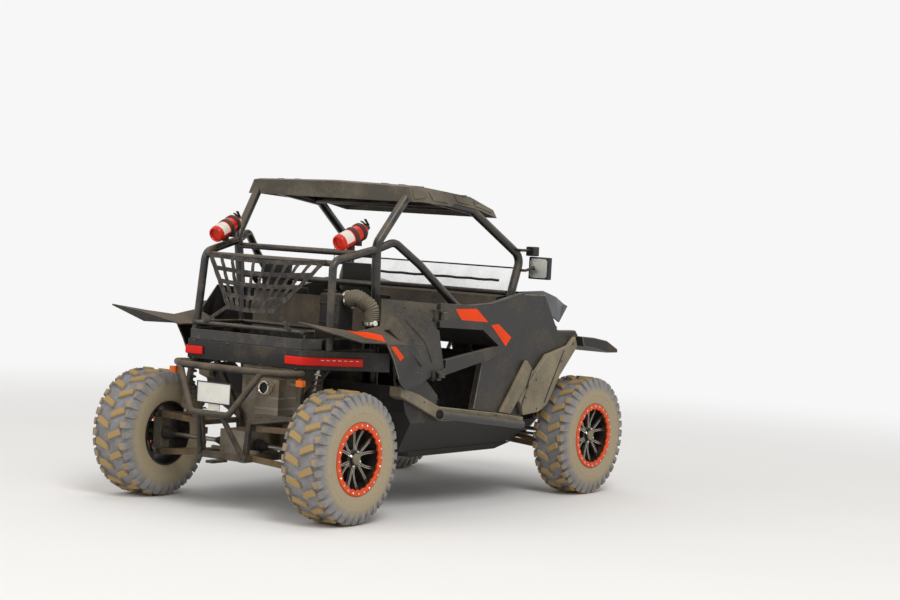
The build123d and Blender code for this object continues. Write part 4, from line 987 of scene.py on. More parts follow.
def clampRing(half):
    # scalloped inside, with a land round each bolt
    ringR = wheels["ringRadius"]
    vertices, faces = [], []
    steps = wheels["bolts"] * 6
    low, high = half - 0.016, half - 0.004
    for step in range(steps):
        turn = 2 * math.pi * step / steps
        wave = 0.5 + 0.5 * math.cos(turn * wheels["bolts"])
        inner = ringR - 0.030 - 0.007 * wave ** 2
        outer = ringR - 0.0012 * (1 - wave)
        rows = (
            (inner, low), (inner, high - 0.003), (inner + 0.003, high), (outer - 0.004, high),
            (outer, high - 0.003), (outer, low),
        )
        vertices.extend([
            Vector((math.sin(turn) * reach, across, math.cos(turn) * reach)) for reach, across in rows
        ])
    for step in range(steps):
        near, far = step * 6, (step + 1) % steps * 6
        for index in range(6):
            other = (index + 1) % 6
            faces.append((near + index, far + index, far + other, near + other))
    return vertices, faces


def rimMeshes(kind):
    half = wheels[kind]["width"] / 2
    rimR = wheels["rimRadius"]
    ringR = wheels["ringRadius"]
    axle = ((0, 0, 0), (0, 1, 0))
    face = half - 0.044
    barrel = [
        (rimR - 0.0005, half - 0.017), (rimR - 0.0005, 0.010 - half), (rimR - 0.009, 0.010 - half),
        (rimR - 0.011, 0.02 - half), (rimR - 0.022, 0.05 - half), (rimR - 0.022, face - 0.03),
        (rimR - 0.011, face + 0.006), (rimR - 0.010, half - 0.017),
    ]
    hub = [
        (0.0205, face + 0.004), (0.0205, face - 0.088), (0.056, face - 0.088), (0.058, face - 0.02),
        (0.055, face - 0.002), (0.034, face + 0.002), (0.032, face + 0.010), (0.028, face + 0.012),
        (0.0205, face + 0.012),
    ]
    spoke = joined([spokeRun(sign, face, 0.0, None, -0.016, 0.0) for sign in (-1, 1)])
    edges = joined([
        spokeRun(sign, face, shift, 0.0014, -0.002, 0.0011) for sign in (-1, 1) for shift in (-0.86, 0.86)
    ])
    dome = [
        (0, face + 0.004), (0.020, face + 0.004), (0.020, face + 0.0122), (0.030, face + 0.0122),
        (0.0285, face + 0.019), (0.012, face + 0.0215), (0, face + 0.0215),
    ]
    stud = [(0.0, 0.012), (0.006, 0.012), (0.0085, 0.009), (0.0085, -0.004), (0.0, -0.004)]
    head = [(0.0, 0.005), (0.004, 0.005), (0.0055, 0.0035), (0.0055, -0.003), (0.0, -0.003)]
    nut = spun(stud, (0, face + 0.002, 0.040), axle[1], 6, False)
    bolt = spun(head, (0, half - 0.0052, ringR - 0.014), axle[1], 8, False)
    pairs, start = wheels["spokes"] // 2, wheels["spokeStart"]
    drum = meshOf(kind + "Barrel", joined([spun(barrel, *axle, 72), spun(hub, *axle, 36)]))
    spokes = turnedMesh(kind + "Spokes", spoke, "bronzeAlloyPaint", pairs, start)
    edging = turnedMesh(kind + "Edges", edges, "machinedAlloy", pairs, start)
    cap = meshOf(kind + "Cap", spun(dome, *axle, 36, False))
    nuts = turnedMesh(kind + "Nuts", nut, "nickelPlate", wheels["nuts"], wheels["nutStart"])
    ring = meshOf(kind + "Ring", clampRing(half))
    bolts = turnedMesh(kind + "Bolts", bolt, "nickelPlate", wheels["bolts"], 0.0)
    return [
        ("rim_barrel", drum, "blackAlloyPaint", "rim_alloy", "rim", 35),
        ("rim_spokes", spokes, None, "rim_alloy", None, 30),
        ("rim_edges", edging, None, "rim_alloy", None, 30),
        ("rim_cap", cap, "sandedPolypropylene", "rim_alloy", None, 40),
        ("rim_nuts", nuts, None, "rim_alloy", None, 20),
        ("clamp_ring", ring, "anodisedRing", "ring_orange", "ring", 35),
        ("ring_bolts", bolts, None, "ring_orange", None, 20),
    ]


for kind in ("front", "rear"):
    rubber = tyreRubber(kind + "TyreRubber", wheels[kind]["axle"])
    wheelParts = tyreMeshes(kind, rubber) + rimMeshes(kind)
    for side, word in sides:
        tag = "_%s_%s" % (kind, word)
        out = side * (wheels["halfWidth"] - wheels[kind]["width"] / 2)
        place = Matrix.Translation((wheels[kind]["axle"], out, wheels["axleHeight"]))
        for name, mesh, finish, slotName, node, smooth in wheelParts:
            copy = sideCopy(mesh, side)
            copy.transform(place)
            settle(name + tag, copy, finish, "wheel" + tag, (node + tag,) if node else (), smooth)
print("wheels done")

# load net of webbing behind the seats: sagging rows, crossed by straps, drawn together below
net = {
    "top": (-1.02014, 0.0, 1.35122),
    "run": (-0.3452, 0.0, -0.93853),
    "length": 0.395,
    "halfTop": 0.400,
    "halfLow": 0.165,
    "strap": 0.024,
    "thick": 0.0022,
    "rows": 5,
    "columns": 11,
    "sag": 0.020,
    "tie": 0.74,
    "tieHalf": 0.300,
    "level": 0.6,
    "weave": 0.0048,
}


def netPoint(u, v, lift=0.0):
    run = Vector(net["run"])
    out = Vector((run.z, 0, -run.x))
    return Vector(net["top"]) + Vector((0, u, 0)) + run * v + out * lift


def loadNet():
    run = Vector(net["run"])
    out = Vector((run.z, 0, -run.x))
    low = net["length"] * net["tie"]
    parts = []
    for row in range(net["rows"]):
        share = row / (net["rows"] - 1)
        half = net["halfTop"] + (net["halfLow"] - net["halfTop"]) * share
        line = []
        for step in range(17):
            u = half * (step / 8 - 1)
            sag = net["sag"] * math.cos(math.pi / 2 * (step / 8 - 1)) * (1 - share * net["level"])
            line.append(netPoint(u, 0.006 + low * share + sag, 0.0026))
        parts.append(strapMesh(line, out, net["strap"], net["thick"]))
    for column in range(net["columns"]):
        place = 2 * column / (net["columns"] - 1) - 1
        line = []
        for step in range(9):
            share = step / 8
            half = net["halfTop"] + (net["halfLow"] - net["halfTop"]) * share
            sag = net["sag"] * math.cos(math.pi / 2 * place) * (1 - share * net["level"])
            line.append(netPoint(half * place, low * share + sag * 0.9, 0.0002 + net["weave"] * (step % 2)))
        parts.append(strapMesh(line, out, net["strap"] * (1.1 if abs(place) == 1 else 0.85), net["thick"]))
    for side in (-1, 1):
        line = []
        for step in range(7):
            reach = net["halfLow"] + (net["tieHalf"] - net["halfLow"]) * step / 6
            line.append(netPoint(side * reach, low + (net["length"] - low) * step / 6, 0.003))
        parts.append(strapMesh(line, out, net["strap"], net["thick"]))
        middle = [
            netPoint(side * (net["halfTop"] - 0.03), 0.01, 0.003),
            netPoint(side * (net["halfTop"] + 0.012), 0.0, 0.004),
        ]
        parts.append(strapMesh(middle, out, net["strap"], net["thick"]))
    return joined(parts)


keep("load_net_webbing", loadNet(), "polyesterWebbing", ("rear_net",), 60)
print("net done")

# half windscreen of clear sheet: seen through, hazy where dust has settled
screen = {
    "clear": 0.05,
    "hazy": 0.26,
    "tint": "#c9c6ba",
    "foot": (0.4535, 0.575, 1.192, 0.011, 12),
    "top": (0.5055, 0.585, 1.3395, 0.0045, 10),
    "rail": (0.4785, 0.50, 1.262, 0.0075, 10),
}


def screenSheet():
    material, tree, shader, place = newMaterial(
        "clearPolycarbonate", {"Roughness": 0.12, "IOR": 1.58, "Base Color": hexToLinear(screen["tint"])},
    )
    cloud = addNode(
        tree, "ShaderNodeTexNoise", {"Scale": 1 / 0.12, "Detail": 5, "Roughness": 0.65}, {"Vector": place},
    )
    height = addNode(tree, "ShaderNodeSeparateXYZ", None, {0: place})
    lower = addNode(
        tree, "ShaderNodeMapRange", {"From Min": 1.30, "From Max": 1.19, "To Min": 0.0, "To Max": 0.35},
        {"Value": height.outputs["Z"]},
    )
    haze = addNode(tree, "ShaderNodeMath", {"operation": "ADD"}, {0: cloud, 1: lower})
    alpha = addNode(
        tree, "ShaderNodeMapRange",
        {"From Min": 0.4, "From Max": 1.0, "To Min": screen["clear"], "To Max": screen["hazy"]},
        {"Value": haze},
    )
    wire(tree, shader, {"Alpha": alpha})
    return material


finishes["clearPolycarbonate"] = screenSheet()
dressed("windscreen", "clearPolycarbonate")


def screenTrim():
    # rubber foot, clamped top edge and the dusty wiper rail across the middle
    bars = []
    for x, end, z, radius, around in (screen["foot"], screen["top"]):
        bars.append(tubeMesh([Vector((x, y, z)) for y in (-end, -0.2, 0.2, end)], radius, around))
    x, end, z, radius, around = screen["rail"]
    rail = [Vector((x, -end + step * 0.05, z + 0.0018 * math.sin(step * 1.9))) for step in range(20)]
    return joined(bars + [tubeMesh(rail, radius, around)])


keep("windscreen_trim", screenTrim(), "mouldedRubber")
print("windscreen done")

# air box and ribbed duct down to the scoop
duct = {
    "path": [
        (-0.850, -0.4315, 1.150), (-0.850, -0.500, 1.170), (-0.808, -0.560, 1.120), (-0.800, -0.566, 1.020),
    ],
    "radius": 0.0435,
    "pitch": 0.0105,
    "depth": 0.0028,
    "box": ((-0.920, -0.430, 0.8928), (-0.790, -0.300, 1.180)),
}


def airBox():
    low, high = duct["box"]
    body = blockMesh(low, high)
    rims = [
        blockMesh((low[0] - 0.003, low[1], z), (high[0] + 0.003, high[1] + 0.003, z + 0.012))
        for z in (1.02, 1.12)
    ]
    return joined([body] + rims)


airCase = keep("air_box", airBox(), "mouldedBlackPolypropylene", ("air_intake",))
addBevel(airCase, 0.009, 3)
ductLine = roundedLine(duct["path"], 0.045, 10)
ductPath = (ductLine, [], [(index, index + 1) for index in range(len(ductLine) - 1)])
ribbed = grown(
    "airDuct", "hose", "ductPolyurethane", {"Path": ductPath}, Radius=duct["radius"], Pitch=duct["pitch"],
    Depth=duct["depth"],
)
settle("air_duct", ribbed, None, "chassis", (), 60)
ductEnd, ductRun = ductLine[-1], (ductLine[-1] - ductLine[-2]).normalized()
startRun = (ductLine[1] - ductLine[0]).normalized()


def clampBand(place, run, reach, half):
    bore = duct["radius"] + 0.003
    return spun([(bore, -half), (reach, -half), (reach, half), (bore, half)], place, run, 40)


screwHead = [(0, -0.004), (0.0165, -0.004), (0.0165, 0.007), (0.012, 0.011), (0, 0.012)]
screwPlace = ductEnd - ductRun * 0.014 + Vector((-0.024, -0.040, 0))
clamps = joined([
    clampBand(ductEnd - ductRun * 0.016, ductRun, 0.0492, 0.009),
    clampBand(ductLine[0] + startRun * 0.012, startRun, 0.0485, 0.007),
    spun(screwHead, screwPlace, (-0.5, -0.85, 0.1), 28, False),
])
keep("duct_clamps", clamps, "nickelPlate")
print("duct done")

# fire bottles on the rear stays: dished foot, rubber clamps, valve and its two levers
bottle = {
    "base": (-0.956, 0.432, 1.450), "head": (-0.760, 0.452, 1.530), "radius": 0.0455,
    "facing": (-0.25, -0.75, 0.62), "bands": (0.098, 0.160), "label": (0.026, 0.086), "labelTurn": 58,
}


def bottlePlace(side):
    base, head = [Vector((x, side * y, z)) for x, y, z in (bottle["base"], bottle["head"])]
    return base, (head - base).normalized(), (head - base).length


def bottleParts(side):
    base, run, length = bottlePlace(side)
    r = bottle["radius"]
    shell = [
        (0, 0.020), (0.028, 0.017), (0.034, 0.003), (0.037, 0.0), (0.0425, 0.005), (r, 0.018),
        (r, length - 0.032), (r - 0.003, length - 0.017), (0.034, length - 0.004), (0.022, length + 0.002),
        (0.0175, length + 0.006), (0, length + 0.008),
    ]
    bands = []
    for at in bottle["bands"]:
        strap = [(r, at), (r + 0.0045, at + 0.001), (r + 0.0045, at + 0.023), (r, at + 0.024)]
        under = base + run * (at + 0.012) + Vector((0, 0, -r - 0.002))
        bands.append(spun(strap, base, run, 40))
        bands.append(plateMesh(under, (0, 0, -1), run, 0.034, 0.026, 0.026, 0.005))
    tip = base + run * (length + 0.006)
    up = (Vector((0, 0, 1)) - run * run.z).normalized()
    neck = [(0, 0), (0.0165, 0), (0.0165, 0.014), (0.011, 0.018), (0.011, 0.030), (0, 0.030)]
    lever = [tip + run * 0.020, tip + run * 0.034 + up * 0.012, tip + run * 0.020 + up * 0.052]
    handle = [tip + run * 0.018, tip + run * 0.012 + up * 0.020, tip - run * 0.014 + up * 0.050]
    valve = [
        spun(neck, tip, run, 24, False),
        strapMesh(lever, run.cross(up).cross(up).normalized(), 0.016, 0.004),
        strapMesh(handle, run, 0.015, 0.004),
    ]
    gauge = spun(
        [(0, 0), (0.011, 0), (0.011, 0.006), (0.009, 0.008), (0, 0.008)],
        tip + run * 0.010 + Vector((0, -side * 0.012, 0)), (0, -side, 0), 20, False,
    )
    ring = [math.radians(turn) for turn in range(-bottle["labelTurn"], bottle["labelTurn"] + 1, 8)]
    facing = Vector(bottle["facing"])
    outward = (facing - run * run.dot(facing)).normalized()
    across = run.cross(outward)
    vertices = []
    for lift in (0.0003, 0.0009):
        for at in bottle["label"]:
            vertices.extend([
                base + run * at + (outward * math.cos(a) + across * math.sin(a)) * (r + lift) for a in ring
            ])
    count = len(ring)
    faces = []
    for index in range(count - 1):
        faces.append((index, index + 1, index + 1 + count, index + count))
        faces.append((index + 2 * count, index + 3 * count, index + 1 + 3 * count, index + 1 + 2 * count))
        faces.append((index, index + 2 * count, index + 1 + 2 * count, index + 1))
        faces.append((index + count, index + 1 + count, index + 1 + 3 * count, index + 3 * count))
    faces.append((0, count, 3 * count, 2 * count))
    faces.append((count - 1, 3 * count - 1, 4 * count - 1, 2 * count - 1))
    return spun(shell, base, run, 48, False), joined(bands), joined(valve), gauge, (vertices, faces)


shells, bands, valves, gauges, labels = [joined(pair) for pair in zip(bottleParts(1), bottleParts(-1))]
keep("fire_bottles", shells, "redEnamel", ("extinguishers",), 40)
keep("bottle_bands", bands, "mouldedRubber")
keep("bottle_valves", valves, "mouldedBlackPolypropylene")
keep("bottle_gauges", gauges, "nickelPlate")
keep("bottle_labels", labels, "blankLabel", (), 60)
print("fire bottles done")

# mirrors and pod lamps on the front pillars
pod = {
    "mirror": ((0.5558, 0.720, 1.346), (-1, 0, 0), (0, 0, 1), 0.118, 0.110, 0.0012, 0.012),
    "lens": ((0.5822, 0.677, 1.441), (1, 0, 0), (0, 0, 1), 0.046, 0.046, 0.0015, 0.010),
    "fin": ((0.5175, 0.655, 1.420), (0.5225, 0.699, 1.4225)),
    "fins": 7,
    "step": (0, 0, 0.0068),
}
dressed("mirrors", "mouldedBlackPolypropylene", 0.010, 3)
keep("mirror_glass", onBothSides(plateMesh(*pod["mirror"])), "silveredGlass")
keep("pod_lenses", onBothSides(plateMesh(*pod["lens"])), "lampPolycarbonate")


def ribRows(name, low, high, count, step, slotName):
    # a row of like ribs on each side
    for side, word in sides:
        rib = blockMesh(low, high) if side > 0 else mirrored(blockMesh(low, high))
        row = grown(name + word, "row", "mouldedBlackPolypropylene", {"Part": rib}, Count=count, Step=step)
        settle(name + "_" + word, row, None, "chassis")


ribRows("pod_fins", *pod["fin"], pod["fins"], pod["step"], "plastic_black")

# lamps at the rear and the front, plate, silencer trim and painted shade in the silencer's bore
dressed("tail_lamps", "redAcrylic", 0.005, 3)
dressed("turn_lamps", "amberAcrylic", 0.006, 3)
dressed("headlamps", "lampPolycarbonate", 0.004)

# inside each headlamp: two bright bowls with dark bulbs, a pale brow strip and a dark frame
lamp = {
    "tilt": (0.53, 0.0, 0.848),
    "on": (1.2868, 1.0342),
    "inner": 0.150,
    "outer": 0.318,
    "bowls": (0.197, 0.270),
    "bowlX": 1.318,
    "radius": 0.029,
    "edge": 0.007,
    "high": 0.0026,
    "brow": (1.262, 0.009, 0.146, 0.0022, 0.002),
    "ends": (1.312, 0.142, (0.1545, 0.3135)),
    "rims": (0.166, (1.2455, 1.3755)),
    "rib": ((1.3795, 0.158, 0.912), (1.3825, 0.310, 0.916)),
    "ribs": 6,
    "ribStep": (0, 0, 0.0105),
}


def lampPlace(x, y):
    # a point on the slanted glass of the lamp
    run, rise = lamp["tilt"][0], lamp["tilt"][2]
    return Vector((x, y, (run * lamp["on"][0] + rise * lamp["on"][1] - run * x) / rise))


def lampParts(side):
    n = Vector(lamp["tilt"]).normalized()
    r, edge = lamp["radius"], lamp["edge"]
    cup = [(r - 0.006, -0.001), (r - 0.006, 0.0015), (r - 0.003, 0.0030), (r, 0.0030), (r + 0.001, -0.001)]
    bead = [
        (0, -0.001), (r - 0.0065, -0.001), (r - 0.0065, 0.0006), (0.009, 0.0012), (0.006, 0.0028), (0, 0.0030),
    ]
    places = [lampPlace(lamp["bowlX"], side * y) for y in lamp["bowls"]]
    middle = (lamp["inner"] + lamp["outer"]) / 2 * side
    browX, *brow = lamp["brow"]
    endX, wide, ends = lamp["ends"]
    long, rims = lamp["rims"]
    bars = [(lampPlace(endX, side * y), wide, edge) for y in ends]
    bars += [(lampPlace(x, middle), edge, long) for x in rims]
    brow = plateMesh(lampPlace(browX, middle), n, (0, 1, 0), *brow)
    around = joined([plateMesh(place, n, (0, 1, 0), a, b, lamp["high"]) for place, a, b in bars])
    bowls = joined([spun(cup, place, n, 40) for place in places])
    bulbs = joined([spun(bead, place, n, 32, False) for place in places])
    return bowls, bulbs, brow, around


lampFinishes = {
    "bowls": "nickelPlate", "bulbs": "screenGlass", "brows": "blankLabel",
    "frames": "mouldedBlackPolypropylene",
}
for (label, finish), pair in zip(lampFinishes.items(), zip(lampParts(1), lampParts(-1))):
    keep("headlamp_" + label, joined(pair), finish, (), 40)
ribRows("headlamp_ribs", *lamp["rib"], lamp["ribs"], lamp["ribStep"], "lamp_clear")

rear = {
    "plate": ((-1.4005, -0.119, 0.574), (-1.3975, 0.119, 0.690)),
    "plateEdge": 0.006,
    "tip": (-1.2458, -0.235, 0.6744),
    "bore": (-1.2528, -0.235, 0.6752),
    "tipRun": (-0.053, 0, 0.006),
    "bandX": (-1.2345, -1.078),
    "bandY": (-0.3065, -0.1425),
    "bandZ": ((0.560, 0.572), (0.618, 0.628)),
}
keep("plate_rim", framed(*rear["plate"], rear["plateEdge"]), "mouldedBlackPolypropylene")
tipRun = Vector(rear["tipRun"]).normalized()
tipRing = [(0.0275, -0.001), (0.0275, 0.030), (0.0305, 0.0335), (0.0350, 0.030), (0.0350, -0.001)]
keep("silencer_tip", spun(tipRing, Vector(rear["tip"]), tipRun, 48), "nickelPlate")
# a dark disc just inside the tip: painted shade of the pipe's hollow
boreShadeDisc = [(0.0278, 0.0), (0, 0.0), (0, -0.002), (0.0278, -0.002)]
keep("silencer_bore", spun(boreShadeDisc, Vector(rear["bore"]), tipRun, 32), "mouldedRubber")
(ax, bx), (ay, by) = rear["bandX"], rear["bandY"]
canBands = joined([blockMesh((ax, ay, low), (bx, by, high)) for low, high in rear["bandZ"]])
keep("silencer_bands", canBands, "turnedSteel")
print("lamps, plate and silencer done")

# orange vinyl on the doors, the quarter panels and the rear fenders: outlines seen from the side or from above
vinyl = {
    "door": [
        [(-0.259, 1.118), (-0.053, 1.117), (0.064, 1.041), (-0.195, 1.056)],
        [(0.096, 1.024), (0.170, 1.029), (0.303, 0.951), (0.251, 0.902)],
    ],
    "quarter": [(-0.858, 0.925), (-0.812, 0.925), (-0.736, 0.866), (-0.768, 0.846)],
    "fender": [
        (-1.112, 0.644), (-1.040, 0.706), (-0.900, 0.742), (-0.884, 0.700), (-0.960, 0.660), (-1.030, 0.643),
    ],
    "thick": 0.0006,
}
# where the rays start that press a sheet on a panel: beside it, behind it or above it
rays = {"side": 1.0, "behind": -1.6, "fender": 1.4, "hood": 1.6, "roof": 2.2}


def pressed(node, outline, thickness, *fine):
    # a sheet on both sides of a panel that is seen from the side
    return joined([laidOn(node, outline, 1, side * rays["side"], thickness, *fine) for side in (1, -1)])


for side, word in sides:
    marks = [
        laidOn("door_" + word, outline, 1, side * rays["side"], vinyl["thick"], 0.03)
        for outline in vinyl["door"]
    ]
    keep("door_vinyl_" + word, joined(marks), "orangeVinyl", (), 30, "door_" + word)
onQuarters = pressed("quarter_panels", vinyl["quarter"], vinyl["thick"])
keep("quarter_vinyl", onQuarters, "orangeVinyl", (), 30)
halves = [[(x, side * y) for x, y in vinyl["fender"]] for side in (1, -1)]
onFenders = joined([laidOn("rear_fenders", outline, 2, rays["fender"], vinyl["thick"]) for outline in halves])
keep("fender_vinyl", onFenders, "orangeVinyl", (), 30)
print("vinyl done")

# seats: foam pads swelled by a short cloth simulation, then their seams and channels drawn in
seat = {
    "middle": 0.29,
    "inset": 0.009,
    "voxel": 0.011,
    "pressure": 4.0,
    "cap": 0.009,
    "seam": 0.128,
    "channel": 0.062,
    "steps": 20,
    "fill": 0.85,
    "facing": 0.45,
    "seamWidth": 0.006,
    "channelWidth": 0.0065,
    "sewnDepth": 0.0045,
    "hollow": 0.007,
    "pads": {
        "cushion": {
            "outline": [(-0.003, 0.5304), (-0.020, 0.605), (-0.396, 0.560), (-0.404, 0.4473), (-0.066, 0.4845)],
            "half": 0.220,
        },
        "back": {
            "outline": [(-0.404, 0.572), (-0.4652, 0.500), (-0.5704, 1.150), (-0.480, 1.140)], "half": 0.205,
        },
        "head": {
            "outline": [(-0.5767, 1.200), (-0.5907, 1.335), (-0.530, 1.325), (-0.512, 1.200)], "half": 0.090,
        },
    },
}


def drawnIn(outline, distance):
    # the outline moved inwards by the same distance on every side
    area = sum(a[0] * b[1] - b[0] * a[1] for a, b in zip(outline, outline[1:] + outline[:1]))
    turn = 1 if area > 0 else -1
    lines = []
    for a, b in zip(outline, outline[1:] + outline[:1]):
        run = Vector((b[0] - a[0], b[1] - a[1])).normalized()
        inward = Vector((-run.y, run.x)) * turn
        lines.append((Vector(a) + inward * distance, run))
    corners = []
    for (p, r), (q, s) in zip(lines[-1:] + lines[:-1], lines):
        cross = r.x * s.y - r.y * s.x
        step = ((q.x - p.x) * s.y - (q.y - p.y) * s.x) / cross
        corners.append(p + r * step)
    return corners


def sidePrism(outline, low, high):
    vertices = [Vector((x, y, z)) for y in (low, high) for x, z in outline]
    count = len(outline)
    faces = [tuple(range(count)), tuple(range(count, 2 * count))[::-1]]
    for index in range(count):
        other = (index + 1) % count
        faces.append((index, index + count, other + count, other))
    return vertices, faces


def swollenPad(name, pad):
    half = pad["half"] - seat["inset"]
    outline = drawnIn(pad["outline"], seat["inset"])
    holder = holderOf(name + "Foam", sidePrism(outline, seat["middle"] - half, seat["middle"] + half))
    even = holder.modifiers.new("even", "REMESH")
    even.mode = "VOXEL"
    even.voxel_size = seat["voxel"]
    mesh = bakedMesh(holder)
    holder.modifiers.clear()
    holder.data = mesh
    start = [vertex.co.copy() for vertex in mesh.vertices]
    cloth = holder.modifiers.new("swell", "CLOTH")
    cloth.settings.use_pressure = True
    cloth.settings.uniform_pressure_force = seat["pressure"]
    cloth.settings.effector_weights.gravity = 0
    cloth.point_cache.frame_start = 1
    cloth.point_cache.frame_end = seat["steps"]
    for step in range(1, seat["steps"] + 1):
        scene.frame_set(step)
    swelled = bakedMesh(holder)
    holder.modifiers.clear()
    for vertex, moved, place in zip(mesh.vertices, swelled.vertices, start):
        shift = moved.co - place
        if shift.length > seat["cap"]:
            shift *= seat["cap"] / shift.length
        vertex.co = place + shift
    scene.frame_set(1)
    smooth = holder.modifiers.new("smooth", "SUBSURF")
    smooth.levels = 1
    smooth.render_levels = 1
    fine = bakedMesh(holder)
    bpy.data.objects.remove(holder)
    return fine


def sewn(mesh, kind):
    # grooves of the seams and channels on the side that is sat on
    facing = Vector((0, 0, 1)) if kind == "cushion" else Vector((1, 0, 0.1)).normalized()
    normals = [vertex.normal.copy() for vertex in mesh.vertices]
    for vertex, normal in zip(mesh.vertices, normals):
        share = max(0.0, normal.dot(facing) - seat["facing"]) / (1 - seat["facing"])
        if share == 0.0 or kind == "head":
            continue
        out = abs(vertex.co.y - seat["middle"])
        run = vertex.co.x if kind == "cushion" else vertex.co.z
        seam = math.exp(-((out - seat["seam"]) / seat["seamWidth"]) ** 2)
        place = (run / seat["channel"]) % 1.0 - 0.5
        channel = math.exp(
            -(place * seat["channel"] / seat["channelWidth"]) ** 2
        ) if out < seat["seam"] else 0.0
        hollow = seat["hollow"] * max(0.0, 1 - (out / seat["seam"]) ** 2)
        vertex.co -= normal * share * (seat["sewnDepth"] * max(seam, channel) + hollow)
    return mesh


for kind, pad in seat["pads"].items():
    padMesh = sewn(swollenPad(kind, pad), kind)
    for side, word in sides:
        name = "seat_%s_%s" % (kind, word)
        padCopy = sideCopy(padMesh, side)
        piece = settle(name, padCopy, "ribbedSeatCloth", "chassis", ("seat_pads",), 180)
        piece.data.materials.append(finishes["bolsterVinyl"])
        for face in piece.data.polygons:
            bolster = kind == "head" or abs(abs(face.center.y) - seat["middle"]) > seat["seam"]
            face.material_index = int(bolster)
print("seats done")

# harness webbing, its adjusters, and the lap straps with their buckles
dressed("harnesses", "polyesterWebbing")
webbing = {
    "lap": 0.046,
    "thick": 0.003,
    "run": [(-0.392, 0.212, 0.566), (-0.366, 0.196, 0.5735), (-0.330, 0.120, 0.5745), (-0.296, 0.034, 0.5775)],
}


def lapStraps():
    straps, metal = [], []
    for middle in (seat["middle"], -seat["middle"]):
        for side in (-1, 1):
            line = [Vector((x, middle + side * y, z)) for x, y, z in webbing["run"]]
            straps.append(strapMesh(line, Vector((0, 0, 1)), webbing["lap"], webbing["thick"]))
            slider = (-0.4925, middle + side * 0.127, 0.9)
            metal.append(plateMesh(slider, (1, 0, 0.14), (-0.14, 0, 1), 0.056, 0.040, 0.009, 0.006))
        metal.append(plateMesh((-0.290, middle, 0.579), (0.1, 0, 1), (1, 0, 0), 0.062, 0.058, 0.014, 0.010))
    return joined(straps), joined(metal)


lap, buckles = lapStraps()
keep("lap_straps", lap, "polyesterWebbing", (), 60)
keep("harness_buckles", buckles, "mouldedBlackPolypropylene")
print("harness done")

# steering wheel with a round grip, three spokes and its column
wheel = {
    "centre": (0.09, 0.29, 0.960), "slope": 35, "rim": 0.170, "grip": 0.0138, "column": 0.011, "length": 0.64,
}
slope = math.radians(wheel["slope"])
columnRun = Vector((math.cos(slope), 0, -math.sin(slope)))
hubPlace = Vector(wheel["centre"])
gripTurns = [math.radians(turn) for turn in range(0, 360, 24)]
gripProfile = [(wheel["rim"] + math.cos(a) * wheel["grip"], math.sin(a) * wheel["grip"]) for a in gripTurns]
grip = spun(gripProfile, hubPlace, columnRun, 64)
keep("steering_grip", grip, "mouldedRubber", ("steering_wheel",), 60, "steering_wheel")
wheelUp = Vector((math.sin(slope), 0, math.cos(slope)))
arms = []
for turn in (90, -90, 180):
    out = wheelUp * math.cos(math.radians(turn)) + Vector((0, 1, 0)) * math.sin(math.radians(turn))
    line = [
        hubPlace + out * reach + columnRun * dip
        for reach, dip in ((0.026, 0.001), (0.080, 0.003), (0.130, 0.002), (0.160, 0.0))
    ]
    arms.append(strapMesh(line, columnRun, 0.026, 0.004))
hub = [(0, -0.010), (0.026, -0.010), (0.031, -0.004), (0.031, 0.012), (0.014, 0.015), (0, 0.015)]
arms.append(spun(hub, hubPlace, columnRun, 36, False))
arms.append(tubeMesh([hubPlace, hubPlace + columnRun * wheel["length"]], wheel["column"], 20))
keep("steering_spokes", joined(arms), "blackAlloyPaint", (), 35, "steering_wheel")
print("steering wheel done")

# dampers with their springs
coil = {
    "feet": [
        ((1.1425, 0.44, 0.4693), (1.1425, 0.2739, 0.8562)), ((-1.1325, 0.43, 0.4693), (-1.060, 0.436, 0.8537)),
    ],
    "wire": 0.0052,
    "radius": 0.0225,
    "turns": 7,
}


def damper(low, high):
    low, high = Vector(low), Vector(high)
    run = (high - low).normalized()
    length = (high - low).length
    rod = [
        (0, 0.009), (0.012, 0.009), (0.0125, 0.045), (0.0255, 0.048), (0.0265, 0.054), (0.0125, 0.056),
        (0.0125, length * 0.55), (0.007, length * 0.56), (0.007, length - 0.106), (0.0265, length - 0.104),
        (0.0255, length - 0.098), (0.0125, length - 0.096), (0.012, length - 0.009), (0, length - 0.009),
    ]
    across = run.orthogonal().normalized()
    other = run.cross(across)
    start, end = 0.056, length - 0.108
    count = coil["turns"] * 18
    line = []
    for step in range(count + 1):
        share = step / count
        turn = 2 * math.pi * coil["turns"] * share
        middle = low + run * (start + coil["wire"] + (end - start - 2 * coil["wire"]) * share)
        line.append(middle + (across * math.cos(turn) + other * math.sin(turn)) * coil["radius"])
    return spun(rod, low, run, 28, False), tubeMesh(line, coil["wire"], 8)


rods, springs = [], []
for low, high in coil["feet"]:
    for side in (1, -1):
        rod, spring = damper((low[0], side * low[1], low[2]), (high[0], side * high[1], high[2]))
        rods.append(rod)
        springs.append(spring)
keep("damper_bodies", joined(rods), "turnedSteel", ("coilovers",))
keep("damper_springs", joined(springs), "springWire", (), 60)

# half shafts in ribbed rubber boots
shaft = {"x": 1.1425, "height": 0.35, "inner": 0.1003, "front": 0.554, "rear": 0.5627, "ribs": 5}


def bootProfile(start, sign):
    rows = [(0.0, 0.034), (0.004, 0.036), (0.012, 0.036), (0.014, 0.034)]
    for rib in range(shaft["ribs"]):
        at = 0.016 + rib * 0.0145
        size = 0.0345 - 0.019 * (rib / (shaft["ribs"] - 1))
        rows += [(at, size - 0.004), (at + 0.005, size), (at + 0.009, size), (at + 0.0125, size - 0.0045)]
    rows.append((0.092, 0.0135))
    return [(radius, start + sign * at) for at, radius in rows]


